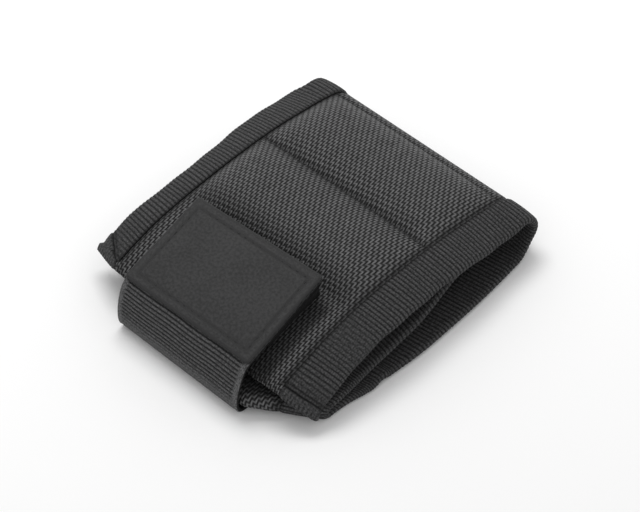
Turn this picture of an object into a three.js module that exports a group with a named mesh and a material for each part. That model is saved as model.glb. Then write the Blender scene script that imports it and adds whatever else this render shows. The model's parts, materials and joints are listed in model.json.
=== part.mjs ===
// A padded magnetic wristband, closed into a flat loop that lies on its lower layer.
// X runs across the band, Y along it with the back fold at +Y, and Z is up.
// The origin is on the ground, under the middle of the closed band.
import * as THREE from "three";

// The closed band, in millimetres
const bandWidth = 90;
const closedLength = 110;
const foldRadius = 9.2;
const archHeight = 22.8;
const gap = 0.3;

// Pockets along each layer, measured from the back fold's apex
const pocketStart = 11.3;
const endSectionLength = 32.7;
const upperCrown = 4.8;
const lowerCrown = 4.2;
const tailCrown = 3;
const pocketSideInset = 0.7;

// Fabrics, and their thickness where the binding tape presses them
const fabricThickness = 1;
const liningThickness = 0.8;
const boundFabricThickness = 0.4;
const boundLiningThickness = 0.4;
const fabricEdgeInset = 1.2;

// Binding tape
const tapeFaceWidth = 11;
const tapeThickness = 0.5;
const tapeWall = 0.6;
const tapeCorner = 0.5;

// Foam and magnets
const foamThickness = 1;
const foamMargin = 3.3;
const lowerFoamMargin = 7.5;
const magnetThickness = 1.6;
const magnetSideMargin = 8.8;
const magnetGap = 2;
const tailMagnetLift = 0.5;

// How the upper layer hangs
const edgeDroop = 3.4;
const droopRun = 20;
const curlStartInset = 15.6;
const curlStartHeight = 16;
const endInset = 7.8;
const endHeight = 9.8;
const endTwist = 1.8;
const twistRun = 45;
const leftCornerDrop = 1.5;
const rightCornerDrop = 5;
const leftEndRise = 1.5;
const rightEndRise = 0.7;
const endRiseWidth = 10;
const cornerRun = 16;

// How the lower layer and the tail lie
const lowerFlare = 3;
const flareStart = 5;
const flareRun = 84;
const rampLength = 7;
const rampMargin = 1;
const frontFoldRadius = 2.95;
const frontFoldInset = 5.5;
const frontTaper = 12;
const lowerTaperRun = 40;
const tailTaperRun = 36;
const tailPocketEnd = 4.5;
const sagRun = 12;

// The elastic strap and its closure tab
const strapWidth = 50;
const strapThickness = 1.3;
const strapBaseLength = 28.5;
const strapBulge = 6.1;
const tabFrontInset = 4.6;
const tabRearMargin = 1.5;
const hookPadThickness = 1.2;
const loopPadThickness = 1;
const padSideMargin = 2;
const patchThickness = 1.2;
const patchFrontInset = 0.6;
const patchCorner = 1.4;
const patchBevel = 0.25;

// Shapes as shares of the sizes above
const shoulderTurnShare = 0.424;
const endTurnShare = 0.133;
const tailTipShare = 0.87;
const tailPullShare = 0.37;
const tailLiftShare = 0.24;
const tailTipPullShare = 0.33;
const bendPullShare = 0.55;
const bendFrontPullShare = 0.5;
const strapSplitShare = 0.5;
const acrossShares = [0.54, 0.87, 0.96];
const crownLengthPower = 3;
const crownWidthPower = 6;

// Counts
const pocketsPerLayer = 2;
const magnetsPerPocket = 3;
const pocketSteps = 8;
const foamSteps = 5;
const foldSteps = 6;
const frontFoldSteps = 4;
const rampSteps = 3;
const overBaseSteps = 4;
const curlSteps = 5;
const endSteps = 5;
const tailSteps = 5;
const bendSteps = 14;
const cornerSegments = 4;

const finishes = {
  fabric: { color: 0x2c2d30, roughness: 0.9 },
  tape: { color: 0x35373b, roughness: 0.9 },
  lining: { color: 0x232427, roughness: 0.95 },
  foam: { color: 0x55575a, roughness: 0.95 },
  magnet: { color: 0xb4b7bb, roughness: 0.35, metalness: 0.9 },
  webbing: { color: 0x303236, roughness: 0.85 },
  hookAndLoop: { color: 0x1d1e20, roughness: 0.95 },
  patch: { color: 0x2b2c2e, roughness: 0.8 },
};

// Places and thicknesses that follow from the sizes
const halfWidth = bandWidth / 2;
const tapeInner = halfWidth - tapeFaceWidth;
const pocketHalf = tapeInner - pocketSideInset;
const fabricEdge = halfWidth - fabricEdgeInset;
const pocketPitch = (closedLength - pocketStart - endSectionLength) / pocketsPerLayer;
const magnetRow = 2 * (pocketHalf - magnetSideMargin);
const magnetPitch = (magnetRow + magnetGap) / magnetsPerPocket;
const magnetSide = magnetPitch - magnetGap;
const backApex = closedLength / 2;
const foldCentre = backApex - foldRadius;
const strapFront = -closedLength / 2;
const liftOverStrap = strapThickness + gap;
const liningTop = fabricThickness + gap;
const boundFabricTop = tapeThickness + gap;
const boundFabricUnder = boundFabricTop + boundFabricThickness;
const boundLiningTop = boundFabricUnder + gap;
const boundLiningUnder = boundLiningTop + boundLiningThickness;
const boundThickness = boundLiningUnder + gap + tapeThickness;

const band = new THREE.Group();

// Adds one named piece in its own finish.
function addPiece(name, geometry, finish) {
  const mesh = new THREE.Mesh(geometry, new THREE.MeshStandardMaterial(finish));
  mesh.name = name;
  band.add(mesh);
  return mesh;
}

// Rises smoothly from 0 to 1 as the share goes from 0 to 1.
function ease(share) {
  const t = THREE.MathUtils.clamp(share, 0, 1);
  return t * t * (3 - 2 * t);
}

function pointAt(y, z) {
  return new THREE.Vector2(y, z);
}

// Part of an ellipse in the side view. A to angle below the from angle turns clockwise.
function arc(centre, radiusY, radiusZ, from, to) {
  return new THREE.EllipseCurve(centre.x, centre.y, radiusY, radiusZ, from, to, to < from);
}

// One layer of the band, or the strap: the line of its outer face in the side view,
// and how that face flares, droops, lifts and tapers across its width.
class Layer {
  constructor(curves, outerSide, { flare, droop, lift, taper } = {}) {
    this.line = new THREE.CurvePath();
    curves.forEach((curve) => this.line.add(curve));
    this.length = this.line.getLength();
    this.outerSide = outerSide;
    this.flare = flare ?? (() => 0);
    this.droop = droop ?? (() => 0);
    this.lift = lift ?? (() => 0);
    this.taper = taper ?? (() => 0);
  }

  // The outer face's point, tangent and outward direction at a distance along the line.
  frameAt(along) {
    const share = THREE.MathUtils.clamp(along / this.length, 0, 1);
    const point = this.line.getPoint(share);
    const tangent = this.line.getTangent(share);
    const outward = pointAt(-tangent.y, tangent.x).multiplyScalar(this.outerSide);
    return { point, tangent, outward };
  }

  // The point at a distance across and along the layer, and a height over its outer face.
  place(across, along, height) {
    const { point, outward } = this.frameAt(along);
    const rise = height - this.droop(across, along);
    return new THREE.Vector3(
      across * (1 + this.flare(along)),
      point.x + outward.x * rise + this.taper(across, along),
      point.y + outward.y * rise + this.lift(across, along),
    );
  }
}

// A closed geometry whose faces point out, whichever way its triangles were listed.
function closedGeometry(positions, index) {
  const corner = (i) => new THREE.Vector3().fromArray(positions, 3 * index[i]);
  let volume = 0;
  for (let i = 0; i < index.length; i += 3) {
    volume += corner(i).dot(corner(i + 1).cross(corner(i + 2)));
  }
  const geometry = new THREE.BufferGeometry();
  geometry.setAttribute("position", new THREE.Float32BufferAttribute(positions, 3));
  geometry.setIndex(volume < 0 ? index.reverse() : index);
  geometry.computeVertexNormals();
  return geometry;
}

// Joins rings of points, one behind the other, into one body closed by end caps. Each face
// is split along the diagonal that leans to +X, so that layers with a gap between keep it.
function skin(rings, capTriangles) {
  const count = rings[0].length;
  const points = rings.flat();
  const index = [];
  for (let ring = 0; ring + 1 < rings.length; ring++) {
    for (let i = 0; i < count; i++) {
      const a = ring * count + i;
      const b = ring * count + ((i + 1) % count);
      if (points[b].x < points[a].x) {
        index.push(a, b, a + count, b, b + count, a + count);
      } else {
        index.push(a, b, b + count, a, b + count, a + count);
      }
    }
  }
  const last = (rings.length - 1) * count;
  for (const [a, b, c] of capTriangles) {
    index.push(a, c, b, last + a, last + b, last + c);
  }
  return closedGeometry(points.flatMap((p) => [p.x, p.y, p.z]), index);
}

// A sheet between two heights over the outer face, each a function of across and along.
function sheet(layer, acrossStations, alongStations, under, top) {
  const rings = alongStations.map((along) => {
    const upper = acrossStations.map((u) => layer.place(u, along, top(u, along)));
    const lower = acrossStations.map((u) => layer.place(u, along, under(u, along)));
    return [...upper, ...lower.reverse()];
  });
  const cap = [];
  for (let i = 0; i + 1 < acrossStations.length; i++) {
    const below = 2 * acrossStations.length - 1 - i;
    cap.push([i, i + 1, below], [i + 1, below - 1, below]);
  }
  return skin(rings, cap);
}

// A section of across and height points, carried along a layer.
function sweep(layer, section, alongStations) {
  const turning = THREE.ShapeUtils.isClockWise(section) ? [...section].reverse() : section;
  const rings = alongStations.map((along) => turning.map((p) => layer.place(p.x, along, p.y)));
  return skin(rings, THREE.ShapeUtils.triangulateShape(turning, []));
}

// Even stations from one distance to another, both included.
function stations(from, to, steps) {
  return Array.from({ length: steps + 1 }, (_, i) => from + ((to - from) * i) / steps);
}

// Joins runs of stations that each start where the last one ended.
function joined(...runs) {
  return runs.flatMap((run, i) => (i ? run.slice(1) : run));
}

// Stations on one side of the middle, repeated on the other.
function mirrored(side) {
  return [...side.map((u) => -u).reverse(), 0, ...side];
}

// How full a pocket is at a place: 1 in its middle and 0 at its channels and tapes.
function fullness(across, along, start) {
  const lengthwise = Math.abs((2 * (along - start)) / pocketPitch - 1);
  const sideways = Math.abs(across) / pocketHalf;
  if (lengthwise >= 1 || sideways >= 1) {
    return 0;
  }
  return (1 - lengthwise ** crownLengthPower) * (1 - sideways ** crownWidthPower);
}

// The upper layer's line: up round the fold, forward over the arch, and down at its free end.
const shoulderTurn = shoulderTurnShare * Math.PI;
const shoulder = pointAt(
  foldCentre + foldRadius * Math.cos(shoulderTurn),
  foldRadius + foldRadius * Math.sin(shoulderTurn),
);
const curlStart = pointAt(strapFront + curlStartInset, curlStartHeight);
const archPull = (8 * archHeight - shoulder.y - curlStart.y) / 6;
const archBack = pointAt(
  shoulder.x - (archPull - shoulder.y) * Math.tan(shoulderTurn),
  archPull,
);
const endTurn = endTurnShare * Math.PI;
const archFront = pointAt(
  curlStart.x + (archPull - curlStart.y) / Math.tan(endTurn),
  archPull,
);
const freeEnd = pointAt(strapFront + endInset, endHeight);
const curlReach = curlStart.x - freeEnd.x;
const curlPull = pointAt(freeEnd.x, curlStart.y - curlReach * Math.tan(endTurn));

const backFold = pointAt(foldCentre, foldRadius);
const upperArc = arc(backFold, foldRadius, foldRadius, 0, shoulderTurn);
const arch = new THREE.CubicBezierCurve(shoulder, archBack, archFront, curlStart);
const endCurl = new THREE.QuadraticBezierCurve(curlStart, curlPull, freeEnd);
const sideShare = (across) => Math.max(0, (Math.abs(across) - tapeInner) / tapeFaceWidth);
const beyondStrap = (across) =>
  Math.max(0, Math.abs(across) - strapWidth / 2) / (halfWidth - strapWidth / 2);
const upperLength = upperArc.getLength() + arch.getLength() + endCurl.getLength();
const nearEnd = (along, run) => ease(1 - (upperLength - along) / run);
const cornerDrop = (across) => (across < 0 ? leftCornerDrop : rightCornerDrop);
const endRise = (across) => (across < 0 ? leftEndRise : rightEndRise);
const pastStrap = (across) => Math.max(0, Math.abs(across) - strapWidth / 2);
const upper = new Layer([upperArc, arch, endCurl], -1, {
  droop: (across, along) => edgeDroop * sideShare(across) * ease(along / droopRun),
  lift: (across, along) => {
    const hang = nearEnd(along, cornerRun);
    const twist = endTwist * Math.sign(across) * beyondStrap(across) * nearEnd(along, twistRun);
    const corner = cornerDrop(across) * sideShare(across);
    const rise = endRise(across) * ease(pastStrap(across) / endRiseWidth);
    return -twist * (1 - hang) + (rise - corner) * hang;
  },
});

// The lower layer's line: down round the fold, along the ground, up over the strap's base,
// and round the lower half of the front fold.
const baseFront = strapFront + strapBulge;
const baseRear = baseFront + strapBaseLength;
const rampTop = baseRear + rampMargin;
const rampFoot = rampTop + rampLength;
const frontFoldCentre = strapFront + frontFoldInset + frontFoldRadius;
const frontFold = pointAt(frontFoldCentre, liftOverStrap + frontFoldRadius);
const groundStart = pointAt(foldCentre, 0);
const rampMiddle = (rampTop + rampFoot) / 2;
const lowerArc = arc(backFold, foldRadius, foldRadius, 0, -Math.PI / 2);
const ground = new THREE.LineCurve(groundStart, pointAt(rampFoot, 0));
const ramp = new THREE.CubicBezierCurve(
  pointAt(rampFoot, 0),
  pointAt(rampMiddle, 0),
  pointAt(rampMiddle, liftOverStrap),
  pointAt(rampTop, liftOverStrap),
);
const overBase = new THREE.LineCurve(
  pointAt(rampTop, liftOverStrap),
  pointAt(frontFoldCentre, liftOverStrap),
);
const frontArc = arc(frontFold, frontFoldRadius, frontFoldRadius, -Math.PI / 2, -Math.PI);
const lowerCurves = [lowerArc, ground, ramp, overBase, frontArc];
const lowerLength = lowerCurves.reduce((sum, curve) => sum + curve.getLength(), 0);
const rampBegin = lowerArc.getLength() + ground.getLength();
const lower = new Layer(lowerCurves, 1, {
  flare: (along) => {
    const share = THREE.MathUtils.clamp((along - flareStart) / flareRun, 0, 1);
    return (lowerFlare / halfWidth) * Math.sin(Math.PI * share);
  },
  lift: (across, along) => -liftOverStrap * beyondStrap(across) * ease((along - rampBegin) / sagRun),
  taper: (across, along) =>
    frontTaper * beyondStrap(across) * ease(1 - (lowerLength - along) / lowerTaperRun),
});

// The tail's line: round the upper half of the front fold, then back inside the loop
// until its tip rests under the upper layer's edges.
const tipAlong = pocketStart + pocketPitch * tailTipShare;
const tip = upper.place(halfWidth, tipAlong, -boundThickness - gap);
const tailStart = pointAt(frontFoldCentre, liftOverStrap + 2 * frontFoldRadius);
const tailRun = tip.y - tailStart.x;
const tailRise = tip.z - tailStart.y;
const tailArc = arc(frontFold, frontFoldRadius, frontFoldRadius, Math.PI, Math.PI / 2);
const tailSweep = new THREE.CubicBezierCurve(
  tailStart,
  pointAt(tailStart.x + tailPullShare * tailRun, tailStart.y),
  pointAt(tip.y - tailTipPullShare * tailRun, tailStart.y + tailLiftShare * tailRise),
  pointAt(tip.y, tip.z),
);
const tail = new Layer([tailArc, tailSweep], 1, {
  lift: (across, along) => -liftOverStrap * beyondStrap(across) * ease(1 - along / tailTaperRun),
  taper: (across, along) => frontTaper * beyondStrap(across) * ease(1 - along / tailTaperRun),
});

// Stations along each layer, shared by its fabric and tapes.
const pockets = Array.from({ length: pocketsPerLayer }, (_, i) => pocketStart + i * pocketPitch);
const lastChannel = pocketStart + pockets.length * pocketPitch;
const curlBegin = upperLength - endCurl.getLength();
const upperStations = joined(
  stations(gap / 2, pocketStart, foldSteps),
  stations(pocketStart, lastChannel, pockets.length * pocketSteps),
  stations(lastChannel, curlBegin, endSteps),
  stations(curlBegin, upperLength, curlSteps),
);
const groundBegin = lowerArc.getLength();
const rampEnd = rampBegin + ramp.getLength();
const frontArcBegin = rampEnd + overBase.getLength();
const lowerStationsWith = (groundSteps) =>
  joined(
    stations(gap / 2, groundBegin, foldSteps),
    stations(groundBegin, rampBegin, groundSteps),
    stations(rampBegin, rampEnd, rampSteps),
    stations(rampEnd, frontArcBegin, overBaseSteps),
    stations(frontArcBegin, lower.length - gap / 2, frontFoldSteps),
  );
const lowerStations = lowerStationsWith(pocketSteps);
const lowerLiningStations = lowerStationsWith(pockets.length * pocketSteps);
const tailPocketBegin = tail.length - tailPocketEnd - pocketPitch;
const tailStations = joined(
  stations(gap / 2, tailArc.getLength(), frontFoldSteps),
  stations(tailArc.getLength(), tailPocketBegin, tailSteps),
  stations(tailPocketBegin, tailPocketBegin + pocketPitch, pocketSteps),
  [tailPocketBegin + pocketPitch, tail.length],
);

// Stations across: where the twist starts, where a pocket falls off to its side, and at the tape.
const boundAcross = [strapWidth / 2, pocketHalf, tapeInner, fabricEdge];
const inOrder = (across) => across.sort((a, b) => a - b);
const pillowAcross = mirrored(
  inOrder([...acrossShares.map((share) => share * pocketHalf), ...boundAcross]),
);
const flatAcross = mirrored(inOrder(boundAcross));
const isBound = (across) => Math.abs(across) > pocketHalf;

// A crown lifts a face of the layer by a height, as full as the pocket is at that place.
const crownOf = (starts, height) => (u, v) =>
  height * starts.reduce((sum, start) => sum + fullness(u, v, start), 0);
const noCrown = () => 0;

// The outer fabric, swelled out by its crown, and pressed flat under the tapes.
function addShell(prefix, layer, along, crown) {
  const across = crown === noCrown ? flatAcross : pillowAcross;
  const top = (u, v) => (isBound(u) ? -boundFabricTop : crown(u, v));
  const under = (u, v) => (isBound(u) ? -boundFabricUnder : crown(u, v) - fabricThickness);
  addPiece(`${prefix}_shell`, sheet(layer, across, along, under, top), finishes.fabric);
}

// The lining on the wrist side, swelled inwards by its crown.
function addLining(prefix, layer, along, crown) {
  const across = crown === noCrown ? flatAcross : pillowAcross;
  const top = (u, v) => (isBound(u) ? -boundLiningTop : -liningTop - crown(u, v));
  const under = (u, v) =>
    isBound(u) ? -boundLiningUnder : -liningTop - liningThickness - crown(u, v);
  addPiece(`${prefix}_lining`, sheet(layer, across, along, under, top), finishes.lining);
}

// Binding tape folded over both long edges: a U whose legs lie on the fabric and the lining.
function addTapes(prefix, layer, along) {
  const wallInner = halfWidth - tapeWall;
  const section = (side) =>
    [
      [tapeInner, 0],
      [halfWidth - tapeCorner, 0],
      [halfWidth, -tapeCorner],
      [halfWidth, tapeCorner - boundThickness],
      [halfWidth - tapeCorner, -boundThickness],
      [tapeInner, -boundThickness],
      [tapeInner, tapeThickness - boundThickness],
      [wallInner, tapeThickness - boundThickness],
      [wallInner, -tapeThickness],
      [tapeInner, -tapeThickness],
    ].map(([u, w]) => pointAt(side * u, w));
  addPiece(`${prefix}_edge_tape_left`, sweep(layer, section(-1), along), finishes.tape);
  addPiece(`${prefix}_edge_tape_right`, sweep(layer, section(1), along), finishes.tape);
}

// A foam pad in a pocket, between two heights, kept clear of the pocket's sides.
function addFoam(name, layer, start, margin, under, top) {
  const half = pocketHalf - margin;
  const across = mirrored(acrossShares.map((share) => (share * half) / acrossShares.at(-1)));
  const along = stations(start + margin, start + pocketPitch - margin, foamSteps);
  addPiece(name, sheet(layer, across, along, under, top), finishes.foam);
}

// A row of flat magnets across a pocket, their outer faces at a height over the outer face.
function addMagnets(prefix, layer, start, height) {
  const along = start + pocketPitch / 2;
  const { tangent } = layer.frameAt(along);
  for (let i = 0; i < magnetsPerPocket; i++) {
    const across = (i - (magnetsPerPocket - 1) / 2) * magnetPitch;
    const block = new THREE.BoxGeometry(magnetSide, magnetSide, magnetThickness);
    const magnet = addPiece(`${prefix}_${i + 1}`, block, finishes.magnet);
    magnet.position.copy(layer.place(across, along, height - magnetThickness / 2));
    magnet.rotation.x = Math.atan2(tangent.y, tangent.x);
  }
}

// The upper layer: the lining lies flat, and the pockets swell the outer fabric.
const upperOuterCrown = crownOf(pockets, upperCrown);
addShell("upper", upper, upperStations, upperOuterCrown);
addLining("upper", upper, upperStations, noCrown);
addTapes("upper", upper, upperStations);
pockets.forEach((start, i) => {
  const foamUnder = gap - liningTop;
  const foamTop = foamUnder + foamThickness;
  addFoam(`upper_foam_${i + 1}`, upper, start, foamMargin, () => foamUnder, (u, v) =>
    Math.min(foamTop, upperOuterCrown(u, v) - fabricThickness - gap));
  addMagnets(`upper_magnet_${i + 1}`, upper, start, foamTop + gap + magnetThickness);
});

// The lower layer: the outer fabric lies flat on the ground, and the pockets swell the lining.
const lowerInnerCrown = crownOf(pockets, lowerCrown);
addShell("lower", lower, lowerStations, noCrown);
addLining("lower", lower, lowerLiningStations, lowerInnerCrown);
addTapes("lower", lower, lowerStations);
pockets.forEach((start, i) => {
  const magnetTop = -fabricThickness - gap;
  const foamTop = magnetTop - magnetThickness - gap;
  addMagnets(`lower_magnet_${i + 1}`, lower, start, magnetTop);
  addFoam(`lower_foam_${i + 1}`, lower, start, lowerFoamMargin,
    (u, v) => gap - liningTop - lowerInnerCrown(u, v), () => foamTop);
});

// The tail, turned back inside the loop, with one pocket.
const tailOuterCrown = crownOf([tailPocketBegin], tailCrown);
addShell("tail", tail, tailStations, tailOuterCrown);
addLining("tail", tail, tailStations, noCrown);
addTapes("tail", tail, tailStations);
addMagnets("tail_magnet", tail, tailPocketBegin, tailMagnetLift + gap - liningTop + magnetThickness);

// The closure tab lies on the loop pad along the lowest straight line that clears it.
const padBegin = lastChannel + tabRearMargin;
const padStations = stations(padBegin, curlBegin, endSteps);
const loopPadTop = gap + loopPadThickness;
const overPad = padStations.map((along) => upper.place(0, along, loopPadTop + gap));
const padRear = overPad[0];
const padFront = overPad.at(-1);
const tabSlope = Math.atan2(padRear.z - padFront.z, padRear.y - padFront.y);
const tabDirection = pointAt(Math.cos(tabSlope), Math.sin(tabSlope));
const tabOutward = pointAt(-tabDirection.y, tabDirection.x);
const heightOver = (p) => pointAt(p.y - padFront.y, p.z - padFront.z).dot(tabOutward);
const tabUnder = Math.max(...overPad.map(heightOver));
const tabOuter = tabUnder + hookPadThickness + gap + strapThickness;
const onTab = (reach) =>
  pointAt(padFront.y, padFront.z)
    .addScaledVector(tabOutward, tabOuter)
    .addScaledVector(tabDirection, reach);
const tabRear = onTab((padRear.y - padFront.y) / tabDirection.x);
const frontReach = (strapFront + tabFrontInset - onTab(0).x) / tabDirection.x;
const tabFront = onTab(frontReach);

// The strap's line: forward under the band, round the front bend and back along the tab.
const bendHalf = tabFront.y / 2;
const bendRise = tabFront.y - bendHalf;
const strapBase = new THREE.LineCurve(pointAt(baseRear, 0), pointAt(baseFront, 0));
const bendCentre = pointAt(baseFront, bendHalf);
const lowerBend = arc(bendCentre, strapBulge, bendHalf, (3 * Math.PI) / 2, Math.PI);
const upperBend = new THREE.CubicBezierCurve(
  pointAt(strapFront, bendHalf),
  pointAt(strapFront, bendHalf + bendPullShare * bendRise),
  tabFront.clone().addScaledVector(tabDirection, -bendFrontPullShare * tabFrontInset),
  tabFront,
);
const tabLine = new THREE.LineCurve(tabFront, tabRear);
const strap = new Layer([strapBase, lowerBend, upperBend, tabLine], 1);

// Each length of webbing, with a slit between one and the next where they turn.
const strapAcross = [-strapWidth / 2, strapWidth / 2];
const baseEnd = strapBase.getLength() + strapSplitShare * lowerBend.getLength();
const bendEnd = strap.length - tabLine.getLength();
const webbingTop = () => 0;
const webbingUnder = () => -strapThickness;
function addWebbing(name, along) {
  addPiece(name, sheet(strap, strapAcross, along, webbingUnder, webbingTop), finishes.webbing);
}
const bendStart = stations(strapBase.getLength(), baseEnd - gap / 2, foldSteps);
addWebbing("strap_base", [0, ...bendStart]);
addWebbing("strap_bend", stations(baseEnd + gap / 2, bendEnd - gap / 2, bendSteps));
addWebbing("tab_webbing", [bendEnd + gap / 2, strap.length]);

// The hook pad under the tab, and the loop pad on the upper layer that it grips.
const padAcross = [padSideMargin - strapWidth / 2, strapWidth / 2 - padSideMargin];
const hookTop = -strapThickness - gap;
const hookRear = strap.length;
const hookFront = hookRear - (padRear.y - padFront.y) / tabDirection.x;
const hookUnder = hookTop - hookPadThickness;
const hookPad = sheet(strap, padAcross, [hookFront, hookRear], () => hookUnder, () => hookTop);
const loopPad = sheet(upper, padAcross, padStations, () => gap, () => loopPadTop);
addPiece("hook_pad", hookPad, finishes.hookAndLoop);
addPiece("loop_pad", loopPad, finishes.hookAndLoop);

// The bare patch sewn on the tab: a rounded rectangle with a soft edge.
const patchSpan = tabLine.getLength() - patchFrontInset;
const patchHalf = { across: strapWidth / 2 - patchBevel, along: patchSpan / 2 - patchBevel };
const outline = new THREE.Shape();
const cornerCentre = {
  across: patchHalf.across - patchCorner,
  along: patchHalf.along - patchCorner,
};
[[1, 1], [-1, 1], [-1, -1], [1, -1]].forEach(([acrossSide, alongSide], quarter) => {
  const across = acrossSide * cornerCentre.across;
  const along = alongSide * cornerCentre.along;
  const from = (quarter * Math.PI) / 2;
  outline.absarc(across, along, patchCorner, from, from + Math.PI / 2);
});
const patchPlate = new THREE.ExtrudeGeometry(outline, {
  depth: patchThickness - 2 * patchBevel,
  bevelThickness: patchBevel,
  bevelSize: patchBevel,
  bevelSegments: 1,
  curveSegments: cornerSegments,
});
const patch = addPiece("patch", patchPlate, finishes.patch);
patch.position.copy(strap.place(0, strap.length - patchSpan / 2, gap + patchBevel));
patch.rotation.x = tabSlope;

export default band;
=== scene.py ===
"""Dresses a padded magnetic wristband, closed into a flat loop, over its fixed frame."""

import json
import logging
import math
from dataclasses import dataclass
from enum import Enum
from typing import Callable, Optional, Sequence

import bpy
import numpy as np
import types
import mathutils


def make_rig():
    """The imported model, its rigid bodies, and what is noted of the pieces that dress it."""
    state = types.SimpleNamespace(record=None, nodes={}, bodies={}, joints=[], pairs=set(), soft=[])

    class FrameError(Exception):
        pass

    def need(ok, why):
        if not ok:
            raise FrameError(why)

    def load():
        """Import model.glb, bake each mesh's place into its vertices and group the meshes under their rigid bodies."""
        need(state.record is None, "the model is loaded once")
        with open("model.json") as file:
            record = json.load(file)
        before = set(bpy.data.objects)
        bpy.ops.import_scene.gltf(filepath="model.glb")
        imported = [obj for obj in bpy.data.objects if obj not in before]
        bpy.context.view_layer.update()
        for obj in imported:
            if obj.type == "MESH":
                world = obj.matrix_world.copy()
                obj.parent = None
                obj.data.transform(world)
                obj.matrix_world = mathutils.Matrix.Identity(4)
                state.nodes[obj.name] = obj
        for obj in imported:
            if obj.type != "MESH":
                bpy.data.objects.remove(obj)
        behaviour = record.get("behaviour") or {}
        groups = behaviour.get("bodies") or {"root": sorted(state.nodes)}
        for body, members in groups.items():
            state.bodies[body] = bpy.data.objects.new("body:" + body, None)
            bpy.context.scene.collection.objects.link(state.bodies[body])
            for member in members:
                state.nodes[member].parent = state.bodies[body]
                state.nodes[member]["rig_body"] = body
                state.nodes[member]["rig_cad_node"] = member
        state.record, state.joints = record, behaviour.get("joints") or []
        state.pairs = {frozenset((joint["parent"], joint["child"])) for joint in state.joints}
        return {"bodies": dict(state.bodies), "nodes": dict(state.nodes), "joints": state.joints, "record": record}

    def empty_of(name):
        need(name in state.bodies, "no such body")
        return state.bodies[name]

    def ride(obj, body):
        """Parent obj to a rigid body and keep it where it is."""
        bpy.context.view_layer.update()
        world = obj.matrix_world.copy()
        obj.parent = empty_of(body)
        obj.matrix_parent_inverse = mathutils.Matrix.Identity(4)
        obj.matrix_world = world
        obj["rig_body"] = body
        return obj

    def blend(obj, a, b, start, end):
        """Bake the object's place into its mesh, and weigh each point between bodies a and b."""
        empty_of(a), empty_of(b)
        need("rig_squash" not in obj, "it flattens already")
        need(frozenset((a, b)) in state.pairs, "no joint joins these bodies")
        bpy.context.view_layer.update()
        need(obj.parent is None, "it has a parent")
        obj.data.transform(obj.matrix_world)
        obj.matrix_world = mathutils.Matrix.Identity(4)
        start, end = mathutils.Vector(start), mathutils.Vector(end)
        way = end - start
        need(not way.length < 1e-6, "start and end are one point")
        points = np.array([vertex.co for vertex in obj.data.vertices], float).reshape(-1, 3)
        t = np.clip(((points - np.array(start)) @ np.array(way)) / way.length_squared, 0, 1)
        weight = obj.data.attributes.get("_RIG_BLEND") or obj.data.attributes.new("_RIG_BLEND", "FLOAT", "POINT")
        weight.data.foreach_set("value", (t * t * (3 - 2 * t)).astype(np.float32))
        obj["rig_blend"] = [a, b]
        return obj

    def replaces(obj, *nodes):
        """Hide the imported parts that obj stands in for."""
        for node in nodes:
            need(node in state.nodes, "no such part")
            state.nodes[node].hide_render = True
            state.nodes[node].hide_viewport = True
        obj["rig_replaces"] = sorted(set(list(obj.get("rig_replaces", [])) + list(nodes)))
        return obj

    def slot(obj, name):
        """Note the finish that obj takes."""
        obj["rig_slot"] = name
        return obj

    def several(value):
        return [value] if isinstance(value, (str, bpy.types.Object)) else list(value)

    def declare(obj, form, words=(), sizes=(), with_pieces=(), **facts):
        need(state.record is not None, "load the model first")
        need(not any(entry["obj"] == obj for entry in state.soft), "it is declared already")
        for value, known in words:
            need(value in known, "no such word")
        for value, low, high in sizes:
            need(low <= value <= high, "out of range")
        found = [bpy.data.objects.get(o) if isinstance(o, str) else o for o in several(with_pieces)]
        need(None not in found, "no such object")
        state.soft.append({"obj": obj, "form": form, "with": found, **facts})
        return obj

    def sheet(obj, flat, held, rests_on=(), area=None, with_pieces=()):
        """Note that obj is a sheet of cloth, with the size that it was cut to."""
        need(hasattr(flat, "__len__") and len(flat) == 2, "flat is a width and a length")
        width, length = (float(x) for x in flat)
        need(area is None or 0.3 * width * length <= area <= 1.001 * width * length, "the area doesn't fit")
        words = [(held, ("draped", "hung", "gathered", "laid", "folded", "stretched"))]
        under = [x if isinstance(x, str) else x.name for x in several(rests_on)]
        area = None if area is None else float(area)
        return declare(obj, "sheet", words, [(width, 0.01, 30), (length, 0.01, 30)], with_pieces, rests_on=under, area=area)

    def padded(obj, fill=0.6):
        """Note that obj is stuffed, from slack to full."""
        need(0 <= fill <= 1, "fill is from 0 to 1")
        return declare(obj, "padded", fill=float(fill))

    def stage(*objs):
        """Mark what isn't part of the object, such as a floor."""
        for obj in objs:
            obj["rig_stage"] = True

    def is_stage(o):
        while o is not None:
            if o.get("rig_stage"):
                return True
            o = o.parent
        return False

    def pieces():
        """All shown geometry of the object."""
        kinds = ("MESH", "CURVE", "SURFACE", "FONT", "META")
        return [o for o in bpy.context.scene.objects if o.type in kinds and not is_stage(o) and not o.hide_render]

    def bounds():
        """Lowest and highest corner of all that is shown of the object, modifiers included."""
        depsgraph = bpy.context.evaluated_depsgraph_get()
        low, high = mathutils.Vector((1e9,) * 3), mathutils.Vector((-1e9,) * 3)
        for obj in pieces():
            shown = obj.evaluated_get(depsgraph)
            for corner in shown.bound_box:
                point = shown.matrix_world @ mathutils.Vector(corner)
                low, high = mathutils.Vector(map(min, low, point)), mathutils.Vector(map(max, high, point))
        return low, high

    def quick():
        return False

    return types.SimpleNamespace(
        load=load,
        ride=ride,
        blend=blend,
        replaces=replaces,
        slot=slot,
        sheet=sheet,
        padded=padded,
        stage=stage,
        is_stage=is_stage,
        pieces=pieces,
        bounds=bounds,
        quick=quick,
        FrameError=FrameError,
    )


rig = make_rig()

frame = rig.load()
CAD_BOX = [list(corner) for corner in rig.bounds()]

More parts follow.
